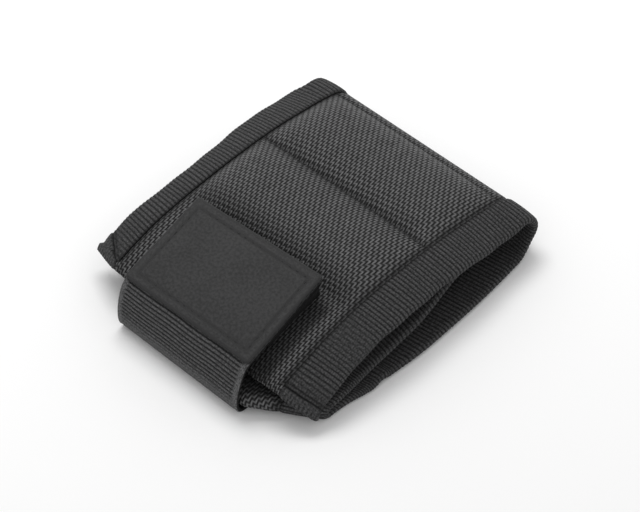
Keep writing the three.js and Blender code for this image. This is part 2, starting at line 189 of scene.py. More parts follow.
LOG = logging.getLogger("wristband")
MM = 0.001
TAPE_RIBS = 1.44 * MM
WEBBING_RIBS = 1.36 * MM
CURVE_STEPS = 400
PAD_STEPS = 6
TAPE_TOP_STEPS = 27
ROUND_STEPS = 11
STRAP_ROUND_STEPS = 9
HEM_ROUND_STEPS = 15
STITCH_STEPS = 7
THREAD_SIDES = 8
SMALLEST = 1e-4
TINY = 1e-12
UNDERSIDE_LIGHT = 0.6
WHITE = (1.0, 1.0, 1.0, 1.0)
SIZE_FILE = "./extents.json"

Points = np.ndarray
Piece = bpy.types.Object
Material = bpy.types.Material
Colour = tuple[float, float, float]
Field = Callable[[Points, Points], Points]


def ease(share: Points) -> Points:
    """Rises smoothly from 0 to 1 as the share goes from 0 to 1."""
    t = np.clip(share, 0, 1)
    return t * t * (3 - 2 * t)


def bump(distance: Points, width: float) -> Points:
    """A smooth hump of height 1 at distance 0, about twice as wide as the width."""
    return np.exp(-((distance / width) ** 2))


def nothing(*_: Points) -> float:
    """No change, wherever it is asked for."""
    return 0.0


def whole(*_: Points) -> float:
    """All of it, wherever it is asked for."""
    return 1.0


def ridges(share: Points, sharpness: float) -> Points:
    """Ribs one apart: 1 on a crest and 0 in a groove."""
    return 1 - np.abs(2 * (share - np.floor(share)) - 1) ** sharpness


def unit(vectors: Points) -> Points:
    """The vectors, each made one long."""
    return vectors / np.maximum(np.linalg.norm(vectors, axis=-1, keepdims=True), TINY)


def arc(centre: Sequence[float], radius: float, start: float, end: float) -> Points:
    """Points along part of a circle in the side view, between two angles in radians."""
    turn = np.linspace(start, end, CURVE_STEPS)
    return np.stack([centre[0] + radius * np.cos(turn), centre[1] + radius * np.sin(turn)], 1)


def bezier(*controls: Sequence[float]) -> Points:
    """Points along a line, or a curve of any degree, in the side view.

    Args:
        controls: Its control points, each along Y and Z.

    Returns:
        One row of Y and Z for each point.
    """
    t = np.linspace(0, 1, CURVE_STEPS)[:, None]
    points = [np.array(control, float) for control in controls]
    while len(points) > 1:
        points = [(1 - t) * a + t * b for a, b in zip(points, points[1:])]
    return points[0]


def length_of(curve: Points) -> float:
    """The length along a row of points."""
    return float(np.linalg.norm(np.diff(curve, axis=0), axis=1).sum())


def marks_of(curve: Points) -> Points:
    """How far along a row of points each of them lies."""
    return np.concatenate([[0], np.cumsum(np.linalg.norm(np.diff(curve, axis=0), axis=1))])


def place_object(name: str, data: bpy.types.ID) -> Piece:
    """An object in the scene, at the origin."""
    made = bpy.data.objects.new(name, data)
    bpy.context.scene.collection.objects.link(made)
    return made


class SideLine:
    """A line in the side view, measured by the distance along it."""

    def __init__(self, *curves: Points) -> None:
        """Joins curves that each start where the last one ended.

        Args:
            curves: Their points, in order.
        """
        self.points = np.concatenate(curves)
        self.tangents = np.concatenate([unit(np.gradient(curve, axis=0)) for curve in curves])
        steps = np.linalg.norm(np.diff(self.points, axis=0), axis=1)
        self.marks = np.concatenate([[0], np.cumsum(steps + TINY)])
        self.length = float(self.marks[-1])

    def at(self, along: Points) -> tuple[Points, Points]:
        """The line at some distances along it, drawn out straight past its ends.

        Args:
            along: The distances.

        Returns:
            The points and the tangents there.
        """
        held = np.clip(along, 0, self.length)
        point = np.stack([np.interp(held, self.marks, self.points[:, i]) for i in range(2)], -1)
        slope = np.stack([np.interp(held, self.marks, self.tangents[:, i]) for i in range(2)], -1)
        tangent = unit(slope)
        return point + tangent * (along - held)[..., None], tangent

    def near_end(self, along: Points, run: float) -> Points:
        """Rises from 0 to 1 over a run that ends at the line's end."""
        return ease(1 - (self.length - along) / run)


@dataclass
class Layer:
    """One layer of the band, or the strap: its outer face's line, and how that face lies.

    outer_side is 1 or -1, the side of the line that faces out. The face is wider by a flare, as
    a share, sinks towards the wrist by a droop, rises by a lift and moves back by a taper. The
    layer is turned about a pivot, in radians.
    """

    line: SideLine
    outer_side: float
    flare: Callable = nothing
    droop: Field = nothing
    lift: Field = nothing
    taper: Field = nothing
    turn: float = 0.0
    pivot: tuple[float, float] = (0.0, 0.0)

    def place(self, across: Points, along: Points, height: Points) -> Points:
        """The point at a distance across and along, and a height over the outer face."""
        across, along, height = np.broadcast_arrays(across, along, height)
        point, tangent = self.line.at(along.astype(float))
        outward = np.stack([-tangent[..., 1], tangent[..., 0]], -1) * self.outer_side
        side = point + outward * (height - self.droop(across, along))[..., None]
        x = across * (1 + self.flare(along))
        y = side[..., 0] + self.taper(across, along)
        beside, behind = x - self.pivot[0], y - self.pivot[1]
        x, y = x - self.turn * behind, y + self.turn * beside
        return np.stack([x, y, side[..., 1] + self.lift(across, along)], -1)


@dataclass(frozen=True)
class Hump:
    """A place where one sewn edge stands out from its even line.

    Its side is 1 for the right edge and -1 for the left one.
    """

    side: int
    place: float
    before: float
    after: float
    height: float

    def at(self, across: Points, along: Points) -> Points:
        """How far the edge stands out at a place."""
        width = np.where(along < self.place, self.before, self.after)
        return self.height * bump(along - self.place, width) * (across * self.side > 0)


UPPER_HUMPS = (Hump(-1, 18 * MM, 3.6 * MM, 16 * MM, 1.2 * MM),
               Hump(-1, 73 * MM, 9 * MM, 8 * MM, -0.5 * MM),
               Hump(-1, 99.5 * MM, 4 * MM, 3.5 * MM, -0.6 * MM))
LOWER_HUMPS = (Hump(1, 88 * MM, 10 * MM, 10 * MM, 1.7 * MM),
               Hump(1, 66 * MM, 14 * MM, 14 * MM, 0.7 * MM))


@dataclass(frozen=True)
class EdgeWander:
    """How far a layer's sewn edges stray from their even line.

    The ripple is two small waves of both edges, the swing a long wave of the left edge, and the
    lobe the folded end of its tape. The flare is how far the edges stand proud where they turn
    the back fold. An inner is how far from the middle they begin, and a reach how much further
    out they are full.
    """

    ripple: float = 0.3 * MM
    ripple_lengths: tuple[float, float] = (31 * MM, 13.7 * MM)
    ripple_shares: tuple[float, float] = (0.6, 0.4)
    ripple_up: float = 0.5
    left_swing: float = 0.95 * MM
    swing_start: float = 9 * MM
    swing_length: float = 84 * MM
    swing_end: float = 93 * MM
    lobe: float = 1.7 * MM
    lobe_length: float = 6 * MM
    lobe_run: float = 1.4 * MM
    inner: float = 30 * MM
    reach: float = 15 * MM
    fold_flare: float = 0.9 * MM
    flare_inner: float = 32.5 * MM
    flare_reach: float = 2.5 * MM
    flare_place: float = 5 * MM
    flare_width: float = 11 * MM
    humps: tuple[Hump, ...] = ()

    def sideways(self, across: Points, along: Points, end: float) -> Points:
        """How far a place strays outwards.

        Args:
            across: The distance across.
            along: The distance along the run.
            end: Where the run ends.

        Returns:
            The stray, away from the band's middle.
        """
        side = np.sign(across)
        stray = self.ripple * sum(
            share * np.sin(2 * np.pi * along / length + side)
            for share, length in zip(self.ripple_shares, self.ripple_lengths))
        turn = 2 * np.pi * (along - self.swing_start) / self.swing_length
        swing = (along > self.swing_start) & (along < self.swing_end)
        left = self.left_swing * np.sin(turn) * swing
        left = left + self.lobe * ease((along - end + self.lobe_length) / self.lobe_run)
        stray = stray + np.where(across < 0, left, 0)
        for hump in self.humps:
            stray = stray + hump.at(across, along)
        return self.weight(across) * stray

    def weight(self, across: Points) -> Points:
        """0 over the pockets and 1 at the edges."""
        return ease((np.abs(across) - self.inner) / self.reach)

    def upwards(self, across: Points, along: Points) -> Points:
        """How far a place strays up from its layer."""
        bound = ease((np.abs(across) - self.flare_inner) / self.flare_reach)
        proud = self.fold_flare * bound * bump(along - self.flare_place, self.flare_width)
        wave = np.sin(2 * np.pi * along / self.ripple_lengths[0])
        return proud + self.weight(across) * self.ripple * self.ripple_up * wave


UPPER_EDGES = EdgeWander(humps=UPPER_HUMPS)
LOWER_EDGES = EdgeWander(ripple=0.0, left_swing=0.0, lobe=0.0, fold_flare=0.0, humps=LOWER_HUMPS)


@dataclass
class Run:
    """Cloth that passes from one layer to the next round a fold.

    fold is the run's own distance at the fold, and sense is 1 where the run follows the first
    layer's own direction, and else -1.
    """

    first: Layer
    second: Layer
    fold: float
    sense: int
    start: float
    wander: EdgeWander

    @property
    def end(self) -> float:
        """Where the run ends."""
        return self.fold + self.second.line.length

    def place(self, across: Points, along: Points, height: Points) -> Points:
        """The point at a distance across and along the run, and a height over its outer face."""
        across, along, height = np.broadcast_arrays(across, along, height)
        moved = across + np.sign(across) * self.wander.sideways(across, along, self.end)
        high = height + self.wander.upwards(across, along)
        before = self.first.place(moved, along * self.sense, high)
        after = self.second.place(moved, along - self.fold, high)
        return np.where((along < self.fold)[..., None], before, after)


@dataclass(frozen=True)
class BandSizes:
    """The closed band's sizes: the frame's, and a few that the cloth alone has.

    The cloth alone has the tuck of the tail, the front fold's reach, the height, rest and foot
    of the strap's bend, and what lifts, lengthens and twists the tab's rear. The strap and its
    bend are turned about the tab's front right corner, in radians.
    """

    width: float = 90 * MM
    closed_length: float = 110 * MM
    fold_radius: float = 9.2 * MM
    arch_height: float = 22.8 * MM
    gap: float = 0.3 * MM
    pocket_start: float = 11.3 * MM
    end_section: float = 32.7 * MM
    upper_crown: float = 4.8 * MM
    lower_crown: float = 4.2 * MM
    tail_crown: float = 3 * MM
    pocket_side_inset: float = 0.7 * MM
    fabric: float = 1 * MM
    lining: float = 0.8 * MM
    bound_thickness: float = 2.7 * MM
    fabric_edge_inset: float = 1.2 * MM
    tape_width: float = 11 * MM
    edge_droop: float = 3.4 * MM
    droop_run: float = 20 * MM
    curl_inset: float = 15.6 * MM
    curl_height: float = 16 * MM
    end_inset: float = 7.8 * MM
    end_height: float = 9.8 * MM
    end_twist: float = 1.8 * MM
    twist_run: float = 45 * MM
    left_drop: float = 1.5 * MM
    right_drop: float = 5 * MM
    left_rise: float = 1.5 * MM
    right_rise: float = 0.7 * MM
    rise_width: float = 10 * MM
    corner_run: float = 16 * MM
    lower_flare: float = 3 * MM
    flare_start: float = 5 * MM
    flare_run: float = 84 * MM
    ramp_length: float = 7 * MM
    ramp_margin: float = 1 * MM
    front_radius: float = 2.95 * MM
    front_inset: float = 5.5 * MM
    front_taper: float = 12 * MM
    lower_taper_run: float = 40 * MM
    tail_taper_run: float = 36 * MM
    tail_pocket_end: float = 4.5 * MM
    sag_run: float = 12 * MM
    tail_tuck: float = 1.7 * MM
    tuck_run: float = 22 * MM
    strap_width: float = 50 * MM
    strap_thickness: float = 1.3 * MM
    strap_base: float = 28.5 * MM
    strap_bulge: float = 6.1 * MM
    strap_front_inset: float = -0.4 * MM
    bend_low: float = 5.5 * MM
    bend_rest: float = 1.7 * MM
    bend_foot: float = 0.9 * MM
    bend_pulls: tuple[float, float] = (0.4, 1.9)
    bend_over: tuple[float, float] = (1.8 * MM, 1.1 * MM)
    fold_reach: float = 1.8 * MM
    fold_reach_inner: float = 2.2 * MM
    fold_reach_left: float = -1.8 * MM
    reach_power: float = 0.8
    fold_left: float = 27 * MM
    fold_turn_run: float = 45 * MM
    fold_run: float = 22 * MM
    tab_inset: float = 4.6 * MM
    tab_rise: float = 1.9 * MM
    tab_longer: float = 1.3 * MM
    tab_twist: float = 0.042
    strap_turn: float = 0.0225
    bend_turn: float = -0.018
    tab_margin: float = 1.5 * MM
    hook_pad: float = 1.2 * MM
    loop_pad: float = 1 * MM
    pad_margin: float = 2 * MM
    patch: float = 1.2 * MM
    patch_inset: float = 0.6 * MM
    shoulder_turn: float = 0.424 * math.pi
    end_turn: float = 0.133 * math.pi
    tail_tip_share: float = 0.87
    tail_pull_share: float = 0.37
    tail_lift_share: float = 0.24
    tail_tip_pull_share: float = 0.33
    full_power: int = 3
    side_power: int = 6

    @property
    def half(self) -> float:
        """Half the band's width."""
        return self.width / 2

    @property
    def tape_inner(self) -> float:
        """Where the binding tape's inner edge lies across."""
        return self.half - self.tape_width

    @property
    def pocket_half(self) -> float:
        """Half a pocket's width."""
        return self.tape_inner - self.pocket_side_inset

    @property
    def pocket_pitch(self) -> float:
        """A pocket's length, from channel to channel."""
        return (self.closed_length - self.pocket_start - self.end_section) / 2

    @property
    def channels(self) -> list[float]:
        """Where the sewn channels lie along each layer."""
        return [self.pocket_start + i * self.pocket_pitch for i in range(3)]


class BandShape:
    """The lines of the band's three layers and its strap, worked out from the sizes."""

    def __init__(self, sizes: BandSizes) -> None:
        """Builds the layers and the two runs of cloth.

        Args:
            sizes: The band's sizes.
        """
        self.sizes = sizes
        self.back = sizes.closed_length / 2 - sizes.fold_radius
        self.front = -sizes.closed_length / 2
        self.lift_over_strap = sizes.strap_thickness + sizes.gap
        self.base_front = self.front + sizes.strap_bulge
        self.base_rear = self.base_front + sizes.strap_base
        self.fold_front = self.front + sizes.front_inset + sizes.front_radius
        self.upper = self._upper_layer()
        self.lower = self._lower_layer()
        self.tail = self._tail_layer()
        self.strap = self._strap_layer()
        start, fold = sizes.pocket_start, self.lower.line.length
        self.upper_run = Run(self.lower, self.upper, 0.0, -1, -start, UPPER_EDGES)
        self.lower_run = Run(self.lower, self.tail, fold, 1, start, LOWER_EDGES)

    def beyond_strap(self, across: Points) -> Points:
        """The share of the way from the strap's edge to the band's edge."""
        half = self.sizes.strap_width / 2
        return np.maximum(0, np.abs(across) - half) / (self.sizes.half - half)

    def tape_share(self, across: Points) -> Points:
        """The share of the way from the tape's inner edge to the band's edge."""
        return np.maximum(0, np.abs(across) - self.sizes.tape_inner) / self.sizes.tape_width

    def reach(self, across: Points) -> Points:
        """How far the front fold's cloth lies in front of the frame's."""
        inner = (1 - np.clip(self.beyond_strap(across), 0, 1)) ** self.sizes.reach_power
        right = self.sizes.fold_reach + self.sizes.fold_reach_inner * inner
        share = ease((across + self.sizes.fold_left) / self.sizes.fold_turn_run)
        return right * share + self.sizes.fold_reach_left * (1 - share)

    def front_taper(self, across: Points, behind: Points, run: float) -> Points:
        """How far back the cloth lies near the front fold, which runs out behind it."""
        reach = self.reach(across) * ease(1 - behind / self.sizes.fold_run)
        taper = self.sizes.front_taper * self.beyond_strap(across)
        return taper * ease(1 - behind / run) - reach

    def _upper_layer(self) -> Layer:
        """The upper layer: round the fold, forward over the arch, and down at its free end."""
        s = self.sizes
        turn = s.shoulder_turn
        shoulder = (self.back + s.fold_radius * math.cos(turn),
                    s.fold_radius + s.fold_radius * math.sin(turn))
        curl = (self.front + s.curl_inset, s.curl_height)
        # A cubic's middle is an eighth of each end and three eighths of each control point.
        pull = (8 * s.arch_height - shoulder[1] - curl[1]) / 6
        arch_back = (shoulder[0] - (pull - shoulder[1]) * math.tan(turn), pull)
        arch_front = (curl[0] + (pull - curl[1]) / math.tan(s.end_turn), pull)
        end = (self.front + s.end_inset, s.end_height)
        curl_pull = (end[0], curl[1] - (curl[0] - end[0]) * math.tan(s.end_turn))
        fold = arc((self.back, s.fold_radius), s.fold_radius, 0, turn)
        arch = bezier(shoulder, arch_back, arch_front, curl)
        end_curl = bezier(curl, curl_pull, end)
        line = SideLine(fold, arch, end_curl)
        self.curl_begin = line.length - length_of(end_curl)

        def droop(across: Points, along: Points) -> Points:
            """The tapes sink below the padded middle."""
            return s.edge_droop * self.tape_share(across) * ease(along / s.droop_run)

        def lift(across: Points, along: Points) -> Points:
            """The free end twists a little, and its two corners hang."""
            hang = line.near_end(along, s.corner_run)
            beyond = self.beyond_strap(across)
            twist = s.end_twist * np.sign(across) * beyond * line.near_end(along, s.twist_run)
            drop = np.where(across < 0, s.left_drop, s.right_drop) * self.tape_share(across)
            rise = np.where(across < 0, s.left_rise, s.right_rise)
            rise = rise * ease((np.abs(across) - s.strap_width / 2) / s.rise_width)
            return -twist * (1 - hang) + (rise - drop) * hang

        return Layer(line, -1, droop=droop, lift=lift)

    def _lower_layer(self) -> Layer:
        """The lower layer: along the ground, over the strap's base and into the front fold."""
        s = self.sizes
        up = self.lift_over_strap
        ramp_top = self.base_rear + s.ramp_margin
        ramp_foot = ramp_top + s.ramp_length
        middle = (ramp_top + ramp_foot) / 2
        line = SideLine(
            arc((self.back, s.fold_radius), s.fold_radius, 0, -math.pi / 2),
            bezier((self.back, 0), (ramp_foot, 0)),
            bezier((ramp_foot, 0), (middle, 0), (middle, up), (ramp_top, up)),
            bezier((ramp_top, up), (self.fold_front, up)),
            arc((self.fold_front, up + s.front_radius), s.front_radius, -math.pi / 2, -math.pi),
        )

        def flare(along: Points) -> Points:
            """The lower layer is widest in its middle."""
            share = np.clip((along - s.flare_start) / s.flare_run, 0, 1)
            return s.lower_flare / s.half * np.sin(np.pi * share)

        ramp_begin = s.fold_radius * math.pi / 2 + self.back - ramp_foot

        def lift(across: Points, along: Points) -> Points:
            """Beyond the strap the layer sags back to the ground."""
            return -up * self.beyond_strap(across) * ease((along - ramp_begin) / s.sag_run)

        def taper(across: Points, along: Points) -> Points:
            """The front fold's corners lie further back than its middle."""
            return self.front_taper(across, line.length - along, s.lower_taper_run)

        return Layer(line, 1, flare=flare, lift=lift, taper=taper)

    def _tail_layer(self) -> Layer:
        """The tail: back from the front fold inside the loop, up to its tip."""
        s = self.sizes
        tip_along = np.array(s.pocket_start + s.pocket_pitch * s.tail_tip_share)
        _, y, z = self.upper.place(np.array(s.half), tip_along, -s.bound_thickness - s.gap)
        top = self.lift_over_strap + 2 * s.front_radius
        start = (self.fold_front, top)
        run, rise = y - start[0], z - top
        line = SideLine(
            arc((self.fold_front, top - s.front_radius), s.front_radius, math.pi, math.pi / 2),
            bezier(start, (start[0] + s.tail_pull_share * run, top),
                   (y - s.tail_tip_pull_share * run, top + s.tail_lift_share * rise), (y, z)),
        )

        def flare(along: Points) -> Points:
            """The tip draws in a little, tucked under the upper layer's edges."""
            return -s.tail_tuck / s.half * line.near_end(along, s.tuck_run)

        def lift(across: Points, along: Points) -> Points:
            """The sag of the front fold runs out along the tail."""
            sag = self.lift_over_strap * self.beyond_strap(across)
            return -sag * ease(1 - along / s.tail_taper_run)

        def taper(across: Points, along: Points) -> Points:
            """The taper of the front fold runs out along the tail."""
            return self.front_taper(across, along, s.tail_taper_run)

        return Layer(line, 1, flare=flare, lift=lift, taper=taper)

    def _strap_layer(self) -> Layer:
        """The strap: forward under the band, round the front bend and back along the tab."""
        s = self.sizes
        self.pad_begin = s.channels[-1] + s.tab_margin
        pad_along = np.linspace(self.pad_begin, self.curl_begin, PAD_STEPS)
        over = self.upper.place(0 * pad_along, pad_along, 2 * s.gap + s.loop_pad)[:, 1:]
        rear, front = over[0], over[-1]
        along = unit(rear - front)
        out = np.array([-along[1], along[0]])
        under = float(((over - front) @ out).max())
        outer = front + out * (under + s.hook_pad + s.gap + s.strap_thickness)
        self.hook_length = (rear[0] - front[0]) / along[0]
        tab_front = outer + along * (self.front + s.tab_inset - outer[0]) / along[0]
        tab_rear = outer + along * (self.hook_length + s.tab_longer) + np.array([0, s.tab_rise])
        low, tip = s.bend_low, self.front + s.strap_front_inset
        below, above = s.bend_pulls
        rest = self.base_front - s.bend_rest
        base = bezier((self.base_rear, 0), (rest, 0))
        lower_bend = bezier((rest, 0), (tip + s.bend_foot, 0), (tip, below * low), (tip, low))
        upper_bend = bezier((tip, low), (tip, above * low), tab_front - np.array(s.bend_over),
                            tab_front)
        tab = bezier(tab_front, tab_rear)
        self.bend_from = length_of(base)
        self.bend_middle = self.bend_from + length_of(lower_bend)
        self.tab_from = self.bend_middle + length_of(upper_bend)
        length = length_of(tab)

        def twist(across: Points, along: Points) -> Points:
            """How far the tab's rear is twisted up on its right side."""
            return s.tab_twist * across * np.clip((along - self.tab_from) / length, 0, 1)

        def turned(across: Points, along: Points) -> Points:
            """How much further the bend is turned than the tab."""
            bent = 1 - ease((along - self.bend_middle) / (self.tab_from - self.bend_middle))
            return s.bend_turn * (across - s.strap_width / 2) * bent

        return Layer(SideLine(base, lower_bend, upper_bend, tab), 1, lift=twist, taper=turned,
                     turn=s.strap_turn, pivot=(s.strap_width / 2, tab_front[0]))

    def fullness(self, across: Points, along: Points, start: float) -> Points:
        """How full a pocket is: 1 in its middle and 0 at its channels and tapes."""
        lengthwise = np.clip(np.abs(2 * (along - start) / self.sizes.pocket_pitch - 1), 0, 1)
        sideways = np.clip(np.abs(across) / self.sizes.pocket_half, 0, 1)
        return (1 - lengthwise**self.sizes.full_power) * (1 - sideways**self.sizes.side_power)


class ClothMesh:
    """Gathers grids of points, with their places on the flat cloth, into one mesh."""

    def __init__(self, name: str) -> None:
        """Starts an empty mesh.

        Args:
            name: The piece's name.
        """
        self.name = name
        self.points: list[Points] = []
        self.cloth: list[Points] = []
        self.faces: list[list[int]] = []
        self.count = 0

    def add(self, points: Points, cloth: Points, faces: list[list[int]]) -> None:
        """Adds one closed body, turned so that its faces point out.

        Args:
            points: Its points, one row each.
            cloth: Their places on the flat cloth, across and along, and how light they are.
            faces: Its faces, each a list of points.
        """
        volume = 0.0
        for size in {len(face) for face in faces}:
            some = np.array([face for face in faces if len(face) == size])
            for k in range(1, size - 1):
                a, b, c = (points[some[:, i]] for i in (0, k, k + 1))
                volume += float(np.einsum("ij,ij->", a, np.cross(b, c)))
        turned = [face[::-1] for face in faces] if volume < 0 else faces
        self.faces += [[i + self.count for i in face] for face in turned]
        self.points.append(points)
        self.cloth.append(cloth)
        self.count += len(points)

    def add_rings(self, rings: Points, cloth: Points, flat_caps: bool = False) -> None:
        """Adds a body skinned over closed rings of points, one behind the other.

        Args:
            rings: Points, by ring, place round the ring and axis.
            cloth: Their places on the flat cloth, in the same order.
            flat_caps: Whether a ring is a sheet's top and underside, closed edge to edge.
        """
        rows, columns = rings.shape[:2]
        index = np.arange(rows * columns).reshape(rows, columns)
        beside = np.roll(index, -1, axis=1)
        quads = np.stack([index[:-1], beside[:-1], beside[1:], index[1:]], -1).reshape(-1, 4)
        faces = quads.tolist()
        for ring, step in ((index[0], 1), (index[-1], -1)):
            if flat_caps:
                half = columns // 2
                under = ring[::-1]
                for i in range(half - 1):
                    quad = [ring[i], under[i], under[i + 1], ring[i + 1]]
                    faces.append([int(k) for k in quad[::step]])
            else:
                faces.append([int(k) for k in ring[:: -step]])
        self.add(rings.reshape(-1, 3), cloth.reshape(-1, 3), faces)

    def build(self, material: Material) -> Piece:
        """Makes the object.

        Args:
            material: Its finish.

        Returns:
            The object, at the origin.
        """
        mesh = bpy.data.meshes.new(self.name)
        mesh.from_pydata(np.concatenate(self.points), [], self.faces)
        cloth = mesh.attributes.new("cloth", "FLOAT_VECTOR", "POINT")
        cloth.data.foreach_set("vector", np.concatenate(self.cloth).astype(np.float32).ravel())
        mesh.polygons.foreach_set("use_smooth", np.ones(len(mesh.polygons), bool))
        mesh.materials.append(material)
        LOG.info("%s: %d faces", self.name, len(mesh.polygons))
        return place_object(self.name, mesh)


class Value:
    """A socket in a material, whose arithmetic adds Math nodes."""

    def __init__(self, graph: "Graph", socket: bpy.types.NodeSocket) -> None:
        """Wraps an output socket of a graph."""
        self.graph = graph
        self.socket = socket

    def _math(self, operation: str, *operands: "Value | float") -> "Value":
        """One Math node over some operands."""
        node = self.graph.node("ShaderNodeMath", {"operation": operation},
                               dict(enumerate(operands)))
        return Value(self.graph, node.outputs[0])

    def __add__(self, other: "Value | float") -> "Value":
        """The sum."""
        return self._math("ADD", self, other)

    __radd__ = __add__

    def __sub__(self, other: "Value | float") -> "Value":
        """The difference."""
        return self._math("SUBTRACT", self, other)

    def __rsub__(self, other: float) -> "Value":
        """A number less the value."""
        return self._math("SUBTRACT", other, self)

    def __mul__(self, other: "Value | float") -> "Value":
        """The product."""
        return self._math("MULTIPLY", self, other)

    __rmul__ = __mul__

    def __truediv__(self, other: "Value | float") -> "Value":
        """The quotient."""
        return self._math("DIVIDE", self, other)

    def __pow__(self, other: "Value | float") -> "Value":
        """The power."""
        return self._math("POWER", self, other)

    def __gt__(self, other: "Value | float") -> "Value":
        """1 where the value is greater, and else 0."""
        return self._math("GREATER_THAN", self, other)

    def scaled(self, gain: float, base: float) -> "Value":
        """The value times a gain, and a base on top."""
        return self * gain + base

    def floor(self) -> "Value":
        """The whole number below."""
        return self._math("FLOOR", self)

    def cosine(self) -> "Value":
        """The cosine of an angle in radians."""
        return self._math("COSINE", self)

    def maximum(self, other: "Value | float") -> "Value":
        """The greater of the two."""
        return self._math("MAXIMUM", self, other)

    def between(self, low: float, high: float) -> "Value":
        """0 at or below the low value, 1 at or above the high one, and smooth between."""
        node = self.graph.node("ShaderNodeMapRange", {"interpolation_type": "SMOOTHSTEP"},
                               {"Value": self, "From Min": low, "From Max": high})
        return Value(self.graph, node.outputs[0])


class Graph:
    """The nodes of one material, or of the surroundings."""

    def __init__(self, owner: "Material | bpy.types.World") -> None:
        """Starts with no nodes.

        Args:
            owner: Whose nodes they are.
        """
        self.owner = owner
        owner.use_nodes = True
        self.tree = owner.node_tree
        self.tree.nodes.clear()

    def node(self, kind: str, settings: Optional[dict] = None,
             sockets: Optional[dict] = None) -> bpy.types.Node:
        """Adds a node.

        Args:
            kind: The node's type.
            settings: Its settings, which are set first.
            sockets: The value of each input, or the value that is linked to it.

        Returns:
            The node.
        """
        node = self.tree.nodes.new(kind)
        for name, value in (settings or {}).items():
            setattr(node, name, value)
        for name, value in (sockets or {}).items():
            if isinstance(value, Value):
                self.tree.links.new(value.socket, node.inputs[name])
            else:
                node.inputs[name].default_value = value
        return node

    def output(self, node: bpy.types.Node, name: "str | int" = 0) -> Value:
        """One of a node's outputs as a value."""
        return Value(self, node.outputs[name])

    def cloth(self) -> tuple[Value, Value, Value, Value]:
        """The cloth's own coordinates.

        Returns:
            The whole vector, the distance across, the distance along, and the lightness.
        """
        place = self.node("ShaderNodeAttribute", {"attribute_name": "cloth"})
        vector = self.output(place, "Vector")
        parts = self.node("ShaderNodeSeparateXYZ", sockets={0: vector})
        return (vector, *(self.output(parts, i) for i in range(3)))

    def noise(self, vector: Value, scale: float, stretch: Sequence[float] = (1, 1, 1),
              detail: float = 2.0) -> Value:
        """Cloudy variation from 0 to 1 over the cloth.

        Args:
            vector: The place on the cloth.
            scale: How fine it is, per metre.
            stretch: How much finer it is across and along.
            detail: How much finer variation is added.

        Returns:
            The variation.
        """
        mapped = self.node("ShaderNodeMapping", sockets={"Vector": vector, "Scale": stretch})
        made = self.node("ShaderNodeTexNoise", sockets={
            "Vector": self.output(mapped), "Scale": scale, "Detail": detail})
        return self.output(made, "Fac")

    def blend(self, factor: "Value | float", low: "Value | Colour",
              high: "Value | Colour") -> Value:
        """Mixes two colours by a factor."""
        ends = [end if isinstance(end, Value) else (*end, 1.0) for end in (low, high)]
        node = self.node("ShaderNodeMix", {"data_type": "RGBA"},
                         {0: factor, 6: ends[0], 7: ends[1]})
        return self.output(node, 2)

    def surface(self, settings: dict, height: Optional[Value] = None,
                relief: float = 0.0) -> Material:
        """Closes the material with its shader.

        Args:
            settings: The shader's sockets.
            height: What raises the surface, from 0 to 1.
            relief: How far it raises it, in metres.

        Returns:
            The material.
        """
        sockets = dict(settings)
        if height is not None:
            raised = self.node("ShaderNodeBump", sockets={"Height": height, "Distance": relief})
            sockets["Normal"] = self.output(raised)
        shader = self.node("ShaderNodeBsdfPrincipled", sockets=sockets)
        self.node("ShaderNodeOutputMaterial", sockets={0: self.output(shader)})
        return self.owner


